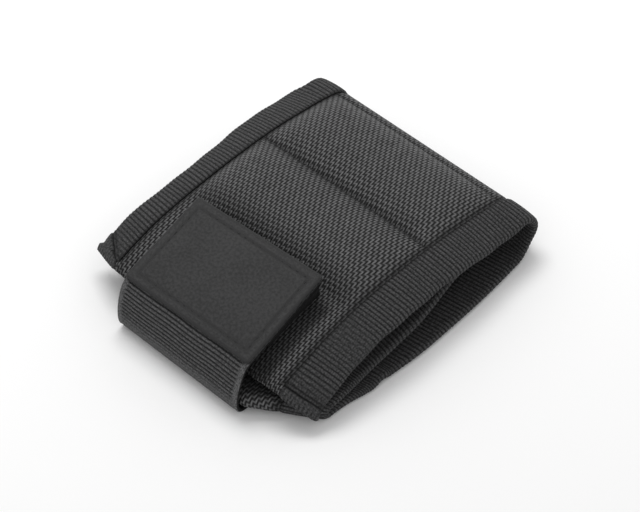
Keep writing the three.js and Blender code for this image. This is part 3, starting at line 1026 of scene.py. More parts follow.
@dataclass(frozen=True)
class WovenFinish:
    """A plain weave of round yarns, drawn on the cloth's own coordinates.

    hole and yarn are the colours between the yarns and on their tops. warp_lead is how far the
    warp stands over the weft, skew how far the weft leans, and chain how much the light catches
    the floats as zigzag chains. Scales are per metre, and a shade is a light's gain and base.
    """

    name: str
    warp_pitch: float
    weft_pitch: float
    hole: Colour
    yarn: Colour
    relief: float
    warp_lead: float = 0.1
    roughness: float = 0.62
    specular: float = 0.16
    wander: float = 0.25
    roundness: float = 2.6
    shade_from: float = -0.2
    shade_to: float = 0.55
    weft_light: float = 0.6
    skew: float = 0.0
    chain: float = 0.0
    chain_power: float = 1.9
    drift_scale: float = 140.0
    fibre_scale: float = 900.0
    fibre_stretch: tuple[float, float] = (3.0, 0.6)
    fibre_relief: float = 0.25
    fibre_shade: tuple[float, float] = (0.9, 0.55)
    uneven_scale: float = 330.0
    uneven_shade: tuple[float, float] = (0.9, 0.55)

    def material(self, g: Graph) -> Material:
        """Draws it on an empty graph."""
        place, across, along, light = g.cloth()
        drift = (g.noise(place, self.drift_scale) - 0.5) * self.wander
        a = across / self.warp_pitch + drift
        b = (along + across * self.skew) / self.weft_pitch + drift
        column, row = a.floor(), b.floor()
        off_column = a - column - 0.5
        off_row = b - row - 0.5
        warp_wave = ((b - 0.5 + column) * math.pi).cosine()
        weft_wave = ((a - 0.5 + row) * math.pi).cosine()
        warp = warp_wave * 0.5 - off_column * off_column * self.roundness + self.warp_lead
        weft = weft_wave * -0.5 - off_row * off_row * self.roundness - self.warp_lead
        height = warp.maximum(weft)
        over = warp > weft
        warp_fibres, weft_fibres = (g.noise(place, self.fibre_scale, (*stretch, 0.0)) for stretch
                                    in (self.fibre_stretch, self.fibre_stretch[::-1]))
        fibres = weft_fibres + over * (warp_fibres - weft_fibres)
        yarn = g.noise(place, self.uneven_scale).scaled(*self.uneven_shade)
        top = height.between(self.shade_from, self.shade_to)
        lit = top * (over * (1 - self.weft_light) + self.weft_light)
        bend = ((a + b - 0.5) * math.pi).cosine() * 0.5
        chains = ((a - b - bend) * math.pi).cosine() * 0.5 + 0.5
        lit = lit * (1 - self.chain) + chains**self.chain_power * self.chain
        lit = lit * fibres.scaled(*self.fibre_shade) * yarn
        colour = g.blend(lit * light, self.hole, self.yarn)
        return g.surface({"Base Color": colour, "Roughness": self.roughness,
                          "Specular IOR Level": self.specular},
                         height + fibres * self.fibre_relief, self.relief)


@dataclass(frozen=True)
class RibbedFinish:
    """Ribbed tape or webbing: the mesh has the ribs, and this has the yarns that cross them.

    groove and crest are the colours between the yarns and on their tops. Scales are per metre,
    and a shade is a light's gain and base.
    """

    name: str
    groove: Colour
    crest: Colour
    rib_pitch: float
    yarn_pitch: float
    relief: float
    roughness: float = 0.7
    specular: float = 0.14
    drift_scale: float = 260.0
    drift: float = 1.1
    fibre_scale: float = 1600.0
    patchy_scale: float = 420.0
    grit_range: tuple[float, float] = (0.25, 0.75)
    light_power: float = 1.5
    yarn_shade: tuple[float, float] = (0.3, 0.6)
    grit_shade: tuple[float, float] = (1.1, 0.4)
    patchy_shade: tuple[float, float] = (0.9, 0.5)
    yarn_relief: float = 0.6

    def material(self, g: Graph) -> Material:
        """Draws it on an empty graph."""
        place, across, along, light = g.cloth()
        drift = g.noise(place, self.drift_scale) * self.drift
        row = (along / self.rib_pitch).floor()
        turn = (across / self.yarn_pitch + row * 0.5 + drift) * (2 * math.pi)
        yarns = turn.cosine() * 0.5 + 0.5
        fibres = g.noise(place, self.fibre_scale, (1.0, 1.0, 0.0))
        patchy = g.noise(place, self.patchy_scale)
        grit = fibres.between(*self.grit_range)
        lit = light**self.light_power * yarns.scaled(*self.yarn_shade)
        lit = lit * grit.scaled(*self.grit_shade) * patchy.scaled(*self.patchy_shade)
        colour = g.blend(lit, self.groove, self.crest)
        return g.surface({"Base Color": colour, "Roughness": self.roughness,
                          "Specular IOR Level": self.specular},
                         yarns * self.yarn_relief + fibres * (1 - self.yarn_relief), self.relief)


@dataclass(frozen=True)
class MottledFinish:
    """Smooth matt synthetic leather with a faint grain.

    Its tone is part cloud and part grain, and pebble is the share of the relief that is pebbled.
    """

    name: str
    low: Colour
    high: Colour
    relief: float
    roughness: float
    specular: float
    grain: float
    cloud_scale: float = 90.0
    cloud: float = 0.2
    tones: tuple[float, float] = (0.3, 0.7)
    rough_range: float = 0.2
    pebble: float = 0.4

    def material(self, g: Graph) -> Material:
        """Draws it on an empty graph."""
        place, _, _, light = g.cloth()
        cloud = g.noise(place, self.cloud_scale, detail=4.0)
        fine = g.noise(place, self.grain, detail=3.0)
        cells = g.node("ShaderNodeTexVoronoi", sockets={"Vector": place, "Scale": self.grain})
        pebble = g.output(cells, "Distance")
        tone = (cloud * self.cloud + fine * (1 - self.cloud)).between(*self.tones)
        colour = g.blend(tone * light, self.low, self.high)
        rough = fine.scaled(self.rough_range, self.roughness - self.rough_range / 2)
        return g.surface({"Base Color": colour, "Roughness": rough,
                          "Specular IOR Level": self.specular},
                         fine * (1 - self.pebble) + pebble * self.pebble, self.relief)


@dataclass(frozen=True)
class PileFinish:
    """The hooks or loops of a closure pad, as fine dots.

    fuzz is its share of the relief beside the dots'.
    """

    name: str
    ground: Colour
    tip: Colour
    pitch: float
    relief: float
    roughness: float = 0.8
    specular: float = 0.2
    fuzz_scale: float = 2200.0
    fuzz: float = 0.3

    def material(self, g: Graph) -> Material:
        """Draws it on an empty graph."""
        place, across, along, light = g.cloth()
        a, b = ((part / self.pitch * (2 * math.pi)).cosine() for part in (across, along))
        dots = (a * b * 0.5 + 0.5) ** 2.0
        fuzz = g.noise(place, self.fuzz_scale, detail=3.0)
        colour = g.blend(dots * fuzz * light, self.ground, self.tip)
        return g.surface({"Base Color": colour, "Roughness": self.roughness,
                          "Specular IOR Level": self.specular},
                         dots * (1 - self.fuzz) + fuzz * self.fuzz, self.relief)


@dataclass(frozen=True)
class FoamFinish:
    """Grey foam with fine open cells, dark in their middles and light at their walls."""

    name: str = "padding_foam"
    cell: Colour = (0.05, 0.05, 0.055)
    wall: Colour = (0.12, 0.12, 0.125)
    scale: float = 1400.0
    wall_at: float = 0.8
    relief: float = 0.2 * MM
    roughness: float = 0.95

    def material(self, g: Graph) -> Material:
        """Draws it on an empty graph."""
        place, *_ = g.cloth()
        cells = g.node("ShaderNodeTexVoronoi", sockets={"Vector": place, "Scale": self.scale})
        depth = g.output(cells, "Distance")
        colour = g.blend(depth.between(0, self.wall_at), self.cell, self.wall)
        return g.surface({"Base Color": colour, "Roughness": self.roughness}, depth, self.relief)


@dataclass(frozen=True)
class PlatedFinish:
    """Nickel plating on a magnet, brushed and a little scuffed."""

    name: str = "plated_magnet"
    dull: Colour = (0.42, 0.42, 0.44)
    bright: Colour = (0.62, 0.62, 0.64)
    streak_scale: float = 300.0
    streak_stretch: tuple[float, float, float] = (1.0, 14.0, 1.0)
    scuff_scale: float = 500.0
    roughness: float = 0.15
    streak_rough: float = 0.2
    scuff_rough: float = 0.15
    relief: float = 0.02 * MM

    def material(self, g: Graph) -> Material:
        """Draws it on an empty graph."""
        where = g.output(g.node("ShaderNodeTexCoord"), "Object")
        streaks = g.noise(where, self.streak_scale, self.streak_stretch)
        scuffs = g.noise(where, self.scuff_scale, detail=4.0)
        colour = g.blend(streaks, self.dull, self.bright)
        rough = streaks * self.streak_rough + scuffs.scaled(self.scuff_rough, self.roughness)
        return g.surface({"Base Color": colour, "Metallic": 1.0, "Roughness": rough},
                         streaks, self.relief)


class Finish(Enum):
    """The finishes of the band, by piece."""

    OUTER_FABRIC = WovenFinish("ballistic_nylon", 0.9 * MM, 1.38 * MM, (0.001, 0.001, 0.001),
                               (0.158, 0.158, 0.16), 0.34 * MM, weft_light=0.75, skew=0.145,
                               chain=0.8)
    LINING = WovenFinish("lining_cloth", 0.7 * MM, 0.8 * MM, (0.001, 0.001, 0.001),
                         (0.06, 0.06, 0.061), 0.18 * MM, warp_lead=0.0)
    TAPE = RibbedFinish("binding_tape", (0.002, 0.002, 0.002), (0.1, 0.1, 0.1015),
                        TAPE_RIBS, 0.7 * MM, 0.12 * MM)
    WEBBING = RibbedFinish("elastic_webbing", (0.002, 0.002, 0.002), (0.145, 0.145, 0.147),
                           WEBBING_RIBS, 0.6 * MM, 0.12 * MM)
    PATCH = MottledFinish("patch_leather", (0.008, 0.008, 0.0082), (0.034, 0.034, 0.0345),
                          0.08 * MM, 0.62, 0.26, 1100.0)
    THREAD = RibbedFinish("sewing_thread", (0.002, 0.002, 0.002), (0.05, 0.05, 0.051),
                          0.6 * MM, 0.4 * MM, 0.03 * MM)
    HOOKS = PileFinish("hook_pile", (0.004, 0.004, 0.004), (0.02, 0.02, 0.021),
                       0.9 * MM, 0.3 * MM)
    LOOPS = PileFinish("loop_pile", (0.005, 0.005, 0.005), (0.03, 0.03, 0.031),
                       0.6 * MM, 0.25 * MM)
    FOAM = FoamFinish()
    PLATING = PlatedFinish()


class Wardrobe:
    """Makes each finish's material once."""

    def __init__(self) -> None:
        """Starts with no material made."""
        self.made: dict[Finish, Material] = {}

    def get(self, finish: Finish) -> Material:
        """The finish's material."""
        if finish not in self.made:
            empty = Graph(bpy.data.materials.new(finish.value.name))
            self.made[finish] = finish.value.material(empty)
        return self.made[finish]


@dataclass(frozen=True)
class Fold:
    """Where cloth that crosses a joint starts and stops turning with the second body."""

    first: str
    second: str
    start: tuple[float, float, float]
    end: tuple[float, float, float]

    def bend(self, piece: Piece) -> Piece:
        """Lets the piece bend between the two bodies."""
        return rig.blend(piece, self.first, self.second, start=self.start, end=self.end)


BACK_FOLD = Fold("lower_band", "upper_band", (0, 48.9 * MM, 0.5 * MM), (0, 42.9 * MM, 17 * MM))
FRONT_FOLD = Fold("lower_band", "tail", (0, -46.5 * MM, 3 * MM), (0, -46.5 * MM, 7.2 * MM))
STRAP_BEND = Fold("lower_band", "strap", (0, -49.2 * MM, 0.5 * MM), (0, -54.5 * MM, 6.5 * MM))
TAB_BEND = Fold("strap", "closure_tab", (0, -54.5 * MM, 14 * MM), (0, -50.4 * MM, 18.6 * MM))


def stations(start: float, end: float, step: float) -> Points:
    """Even distances from start to end, about a step apart."""
    return np.linspace(start, end, max(2, round(abs(end - start) / step) + 1))


def half_round(centre: float, radius: float, sign: int, count: int) -> tuple[Points, Points]:
    """The round of a section's side, without its ends: down on the right, up on the left."""
    turn = np.linspace(math.pi / 2, -math.pi / 2, count)[1:-1][::sign]
    return centre + sign * radius * np.cos(turn), -radius + radius * np.sin(turn)


def sheet(name: str, place: Callable, across: Points, along: Points, top: Field, under: Field,
          light: Field, material: Material) -> Piece:
    """A sheet of cloth between two heights over a layer's outer face.

    Args:
        name: The piece's name.
        place: Where a point across, along and high lies.
        across: Its stations across.
        along: Its stations along.
        top: The height of its top, across and along.
        under: The height of its underside.
        light: How light its top is, from 0 to 1.
        material: Its finish.

    Returns:
        The piece.
    """
    u, v = np.meshgrid(across, along)
    shade = light(u, v) + 0 * u
    faces = [place(u, v, high(u, v) + 0 * u) for high in (top, under)]
    flats = [np.stack([u, v, level * shade], -1) for level in (1, UNDERSIDE_LIGHT)]
    mesh = ClothMesh(name)
    mesh.add_rings(*(np.concatenate([a, b[:, ::-1]], 1) for a, b in (faces, flats)), True)
    return mesh.build(material)


@dataclass
class PocketWrinkles:
    """The wrinkles that the padding leaves in a pocket's cloth, found by simulating it.

    The cloth is simulated at a larger scale, cut larger than its pocket by the spare share. Its
    plain swell is found in some rounds of smoothing and taken off.
    """

    width: float
    length: float
    step: float = 1.1 * MM
    spare: float = 0.05
    scale: float = 10.0
    frames: int = 20
    cap: float = 0.5 * MM
    pressure: float = 4.0
    stiffness: float = 0.1
    uneven: float = 0.02
    rounds: int = 24

    def heights(self, seed: int) -> Points:
        """Simulates one pocket.

        Args:
            seed: Which pocket it is, so that no two wrinkle alike.

        Returns:
            The wrinkles' heights, by place along and across.
        """
        columns = round(self.width / self.step) + 1
        rows = round(self.length / self.step) + 1
        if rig.quick():
            return np.zeros((rows, columns))
        x = np.linspace(-0.5, 0.5, columns) * self.width * self.scale
        y = np.linspace(-0.5, 0.5, rows) * self.length * self.scale
        u, v = np.meshgrid(x, y)
        start = np.random.default_rng(seed).normal(0, self.uneven, u.shape)
        start = start * self.step * self.scale
        index = np.arange(rows * columns).reshape(rows, columns)
        quads = np.stack([index[:-1, :-1], index[:-1, 1:], index[1:, 1:], index[1:, :-1]], -1)
        mesh = bpy.data.meshes.new("pocket_cloth")
        mesh.from_pydata(np.stack([u, v, start], -1).reshape(-1, 3), [],
                         quads.reshape(-1, 4).tolist())
        cloth = place_object("pocket_cloth", mesh)
        pins = cloth.vertex_groups.new(name="sewn")
        sewn = np.concatenate([index[0], index[-1], index[:, 0], index[:, -1]])
        pins.add(sorted({int(i) for i in sewn}), 1.0, "REPLACE")
        settings = cloth.modifiers.new("swell", "CLOTH").settings
        settings.vertex_group_mass = "sewn"
        settings.use_pressure = True
        settings.uniform_pressure_force = self.pressure
        settings.shrink_min = -self.spare
        settings.bending_stiffness = self.stiffness
        settings.effector_weights.gravity = 0
        for number in range(1, self.frames + 1):
            bpy.context.scene.frame_set(number)
        graph = bpy.context.evaluated_depsgraph_get()
        moved = np.zeros(rows * columns * 3, np.float32)
        cloth.evaluated_get(graph).data.vertices.foreach_get("co", moved)
        height = moved.reshape(rows, columns, 3)[..., 2] / self.scale
        bpy.data.objects.remove(cloth)
        bpy.data.meshes.remove(mesh)
        bpy.context.scene.frame_set(1)
        LOG.info("pocket %d swelled by %.2f mm", seed, height.max() / MM)
        return self._wrinkles(height)

    def _wrinkles(self, height: Points) -> Points:
        """What is left of the swelled cloth once its smooth swell is taken off."""
        smooth = height.copy()
        for _ in range(self.rounds):
            padded = np.pad(smooth, 1, mode="edge")
            smooth = (padded[:-2, 1:-1] + padded[2:, 1:-1] + padded[1:-1, :-2]
                      + padded[1:-1, 2:]) / 4
        return np.clip(height - smooth, -self.cap, self.cap)


def sample(grid: Points, across: Points, along: Points) -> Points:
    """A grid's value between its points, and 0 beyond them.

    Args:
        grid: The values, by place along and across.
        across: The share of the way across it.
        along: The share of the way along it.

    Returns:
        The values there.
    """
    last_row, last_column = grid.shape[0] - 1, grid.shape[1] - 1
    x, y = across * last_column, along * last_row
    inside = (x > 0) & (x < last_column) & (y > 0) & (y < last_row)
    x0 = np.clip(np.floor(x), 0, last_column - 1).astype(int)
    y0 = np.clip(np.floor(y), 0, last_row - 1).astype(int)
    fx, fy = x - x0, y - y0
    near = grid[y0, x0] * (1 - fx) + grid[y0, x0 + 1] * fx
    far = grid[y0 + 1, x0] * (1 - fx) + grid[y0 + 1, x0 + 1] * fx
    return np.where(inside, near * (1 - fy) + far * fy, 0)


@dataclass
class SubAssembly:
    """A part of the band that is built and dressed as one."""

    shape: BandShape
    wardrobe: Wardrobe

    @property
    def s(self) -> BandSizes:
        """The band's sizes."""
        return self.shape.sizes

    def build(self) -> None:
        """Builds and dresses every piece."""
        raise NotImplementedError

    def dress(self, piece: Piece, slot: str, holder: "Fold | str",
              *replaced: str) -> None:
        """Says which slot a piece has, what it moves with and what it replaces.

        Args:
            piece: The piece.
            slot: Its slot.
            holder: The fold that it bends at, or the body that it rides on.
            replaced: The solids of the frame that it replaces.
        """
        if replaced:
            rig.replaces(piece, *replaced)
        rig.slot(piece, slot)
        if isinstance(holder, Fold):
            holder.bend(piece)
        else:
            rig.ride(piece, holder)


@dataclass
class Covers(SubAssembly):
    """The outer fabric and the lining of every layer.

    The tapes press the cloth down to the bound depths, and loft is the fabric's thickness beside
    the solid's. The shades are how dark it is along the tapes, in the channels, inside the loop,
    on the lining, behind the tab and on its right.
    """

    step: float = 0.75 * MM
    plain_step: float = 1.3 * MM
    hem: float = 1.2 * MM
    bound_depth: float = 0.7 * MM
    bound_fabric: float = 0.4 * MM
    bound_lining: float = 1.5 * MM
    press_start: float = 0.4 * MM
    press_run: float = 1.1 * MM
    loft: float = 0.9
    groove: float = 0.35 * MM
    groove_width: float = 0.8 * MM
    wrinkle_gain: float = 0.3
    fold_swell: float = 0.45 * MM
    fold_place: float = 6.7 * MM
    fold_width: float = 9 * MM
    fold_clear: float = 4.5 * MM
    seam_width: float = 1 * MM
    seam_shade: float = 0.75
    sewn_shade: float = 0.55
    inside_shade: float = 0.65
    lining_shade: float = 0.6
    tab_shade: float = 0.3
    side_shade: float = 0.6
    side_run: float = 4 * MM
    shade_before: float = 2 * MM
    shade_width: float = 5 * MM
    shade_edge: float = 2.5 * MM
    shade_half: float = 0.7
    shade_run: float = 6 * MM

    @property
    def edge(self) -> float:
        """Where the cloth is bound, across."""
        return self.s.half - self.s.fabric_edge_inset

    def across(self, step: float) -> Points:
        """Stations from one bound edge of the cloth to the other."""
        return stations(-self.edge, self.edge, step)

    def under_tape(self, across: Points) -> Points:
        """0 over the pockets and 1 where the tape presses the cloth."""
        return ease((np.abs(across) - self.s.pocket_half + self.press_start) / self.press_run)

    def crown(self, starts: Sequence[float], height: float, wrinkles: Sequence[Points]) -> Field:
        """How far the pockets swell a face.

        Args:
            starts: Where each pocket starts.
            height: How far a pocket swells in its middle.
            wrinkles: Each pocket's wrinkles.

        Returns:
            The swell across and along.
        """
        def swell(across: Points, along: Points) -> Points:
            """The swell at a place."""
            total = np.zeros(np.broadcast(across, along).shape)
            for start, grid in zip(starts, wrinkles):
                total += height * self.shape.fullness(across, along, start)
                total += self.wrinkle_gain * sample(grid, (across / self.s.pocket_half + 1) / 2,
                                                    (along - start) / self.s.pocket_pitch)
            return total

        return swell

    def channel_depth(self, along: Points, channels: Sequence[float]) -> Points:
        """How deep the stitching draws the cloth in at the channels, from 0 to 1."""
        return sum(bump(along - channel, self.groove_width) for channel in channels)

    def beside_tab(self, across: Points, along: Points) -> Points:
        """How dark the upper cover is behind the tab and on its right."""
        width, channel = self.s.strap_width, self.s.channels[2]
        behind = bump(along - channel + self.shade_before, self.shade_width)
        behind = behind * ease((width * self.shade_half - np.abs(across)) / self.shade_run)
        right = ease((width / 2 + self.shade_width - across) / self.shade_edge) * (across > 0)
        right = right * ease((along - channel - self.shade_before) / self.side_run)
        return self.tab_shade * behind + self.side_shade * right

    def outer(self, name: str, run: Run, swell: Field, channels: Sequence[float], step: float,
              inside: float) -> Piece:
        """The outer fabric of a run.

        Args:
            name: The piece's name.
            run: The run it covers.
            swell: How far its pockets swell it.
            channels: Where it is sewn through.
            step: Its mesh size.
            inside: Where the part that lies hidden inside the loop begins.

        Returns:
            The piece.
        """
        is_upper = run is self.shape.upper_run

        def top(u: Points, v: Points) -> Points:
            """The fabric's face: swelled, drawn in at channels, and pressed under the tape."""
            held = self.under_tape(u)
            drawn = self.groove * self.channel_depth(v, channels)
            full = self.fold_swell * bump(v - self.fold_place, self.fold_width) * is_upper
            return (swell(u, v) + full - drawn) * (1 - held) - self.bound_depth * held

        def under(u: Points, v: Points) -> Points:
            """The fabric's back."""
            held = self.under_tape(u)
            return top(u, v) - self.s.fabric * self.loft * (1 - held) - self.bound_fabric * held

        def light(u: Points, v: Points) -> Points:
            """Darker along the tapes, in the channels, inside the loop and beside the tab."""
            beside = bump(np.abs(u) - self.s.pocket_half - self.press_start, self.seam_width)
            sewn = np.clip(self.channel_depth(v, channels), 0, 1)
            hidden = self.inside_shade * ease((v - inside) / self.shade_edge)
            if is_upper:
                hidden = hidden + self.beside_tab(u, v)
            return (1 - self.seam_shade * beside) * (1 - self.sewn_shade * sewn) * (1 - hidden)

        return sheet(name, run.place, self.across(step),
                     stations(run.start, run.end - self.hem, step), top, under, light,
                     self.wardrobe.get(Finish.OUTER_FABRIC))

    def lining(self, name: str, place: Callable, start: float, end: float, swell: Field,
               step: float) -> Piece:
        """The lining on the wrist side.

        Args:
            name: The piece's name.
            place: Where a point across, along and high lies.
            start: Where it starts along.
            end: Where it ends.
            swell: How far its pockets swell it towards the wrist.
            step: Its mesh size.

        Returns:
            The piece.
        """
        def top(u: Points, v: Points) -> Points:
            """The side that faces the padding."""
            held = self.under_tape(u)
            free = -self.s.fabric - self.s.gap - swell(u, v)
            return free * (1 - held) - self.bound_lining * held

        def under(u: Points, v: Points) -> Points:
            """The side that faces the wrist."""
            held = self.under_tape(u)
            return top(u, v) - self.s.lining * (1 - held) - self.bound_fabric * held

        def light(u: Points, v: Points) -> Points:
            """Darker under the tapes."""
            return 1 - self.lining_shade * self.under_tape(u)

        return sheet(name, place, self.across(step), stations(start, end, step), top, under,
                     light, self.wardrobe.get(Finish.LINING))

    def build(self) -> None:
        """Builds and dresses every cover and lining."""
        s, shape = self.s, self.shape
        pockets = s.channels[:2]
        cloth = PocketWrinkles(2 * s.pocket_half, s.pocket_pitch)
        first, second = (cloth.heights(seed) for seed in (1, 2))
        upper, lower = shape.upper_run, shape.lower_run

        swell = self.crown(pockets, s.upper_crown, (first, second))
        cover = self.outer("upper_cover", upper, swell, pockets, self.step, upper.end)
        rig.padded(cover, fill=0.5)
        self.dress(cover, "outer_fabric", BACK_FOLD, "upper_shell")

        tail_pocket = lower.end - s.tail_pocket_end - s.pocket_pitch
        swell = self.crown([tail_pocket], s.tail_crown, [first[::-1]])
        channels = [*s.channels[1:], tail_pocket, tail_pocket + s.pocket_pitch]
        cover = self.outer("lower_cover", lower, swell, channels, self.plain_step,
                           lower.fold + self.shade_edge)
        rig.padded(cover, fill=0.3)
        self.dress(cover, "outer_fabric", FRONT_FOLD, "lower_shell", "tail_shell")

        end = upper.end - self.hem
        lining = self.lining("upper_lining_cloth", upper.place, upper.start, end, nothing,
                             self.plain_step)
        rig.sheet(lining, flat=(2 * self.edge, end - upper.start), held="stretched",
                 rests_on=["upper_cover"])
        self.dress(lining, "lining", BACK_FOLD, "upper_lining")

        swell = self.crown(pockets, s.lower_crown, (second[::-1], first[:, ::-1]))
        lining = self.lining("lower_lining_cloth", lower.place, lower.start,
                             lower.fold - self.fold_clear, swell, self.step)
        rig.padded(lining, fill=0.4)
        self.dress(lining, "lining", "lower_band", "lower_lining")

        end = shape.tail.line.length - self.hem
        lining = self.lining("tail_lining_cloth", shape.tail.place, self.fold_clear, end,
                             nothing, self.plain_step)
        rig.sheet(lining, flat=(2 * self.edge, end - self.fold_clear), held="stretched",
                 rests_on=["lower_cover"])
        self.dress(lining, "lining", "tail", "tail_lining")


@dataclass
class Hems(SubAssembly):
    """The fabric turned in over the ends of the upper layer and the tail.

    A hem starts at reach from its layer's end, a little sunk, has risen over the cover at rise,
    and turns round an edge whose middle lies at inset.
    """

    reach: float = 3.5 * MM
    rise: float = 2.6 * MM
    inset: float = 0.7 * MM
    sink: float = 0.25 * MM
    proud: float = 0.02 * MM
    low_proud: float = 0.05 * MM
    wall: float = 0.45 * MM
    inner_low: float = 0.5 * MM
    inner_high: float = 0.6 * MM
    overlap: float = 0.8 * MM
    step: float = 0.8 * MM
    ripple: float = 0.12 * MM
    ripple_length: float = 7.3 * MM
    light: float = 0.8

    def hem(self, name: str, layer: Layer, body: str) -> None:
        """The hem of one layer, between its tapes.

        Args:
            name: The piece's name.
            layer: The layer whose end it covers.
            body: The body that it rides on.
        """
        length = layer.line.length
        radius = self.s.bound_thickness / 2
        centre, start = length - self.inset, length - self.reach
        turn = np.linspace(math.pi / 2, -math.pi / 2, HEM_ROUND_STEPS)

        def edge(size: float, turns: Points) -> list[tuple[float, float]]:
            """The round edge of the section."""
            return [(centre + size * math.cos(t), -radius + size * math.sin(t)) for t in turns]

        profile = np.array([
            (start, -self.sink), (length - self.rise, self.proud),
            *edge(radius + self.proud, turn), (start, self.low_proud - 2 * radius),
            (start, self.inner_low - 2 * radius), *edge(radius - self.wall, turn[::-2]),
            (start, -self.inner_high)])
        reach = self.s.tape_inner + self.overlap
        flat, across = np.meshgrid(start + marks_of(profile), stations(-reach, reach, self.step))
        ripple = self.ripple * np.sin(2 * np.pi * across / self.ripple_length)
        ripple = ripple * (profile[:, 0] > centre)
        rings = layer.place(across, profile[:, 0] + ripple, profile[:, 1] + 0 * across)
        mesh = ClothMesh(name)
        mesh.add_rings(rings, np.stack([across, flat, self.light + 0 * flat], -1))
        self.dress(mesh.build(self.wardrobe.get(Finish.OUTER_FABRIC)), "outer_fabric", body)

    def build(self) -> None:
        """Builds both hems."""
        self.hem("upper_hem", self.shape.upper, "upper_band")
        self.hem("tail_hem", self.shape.tail, "tail")


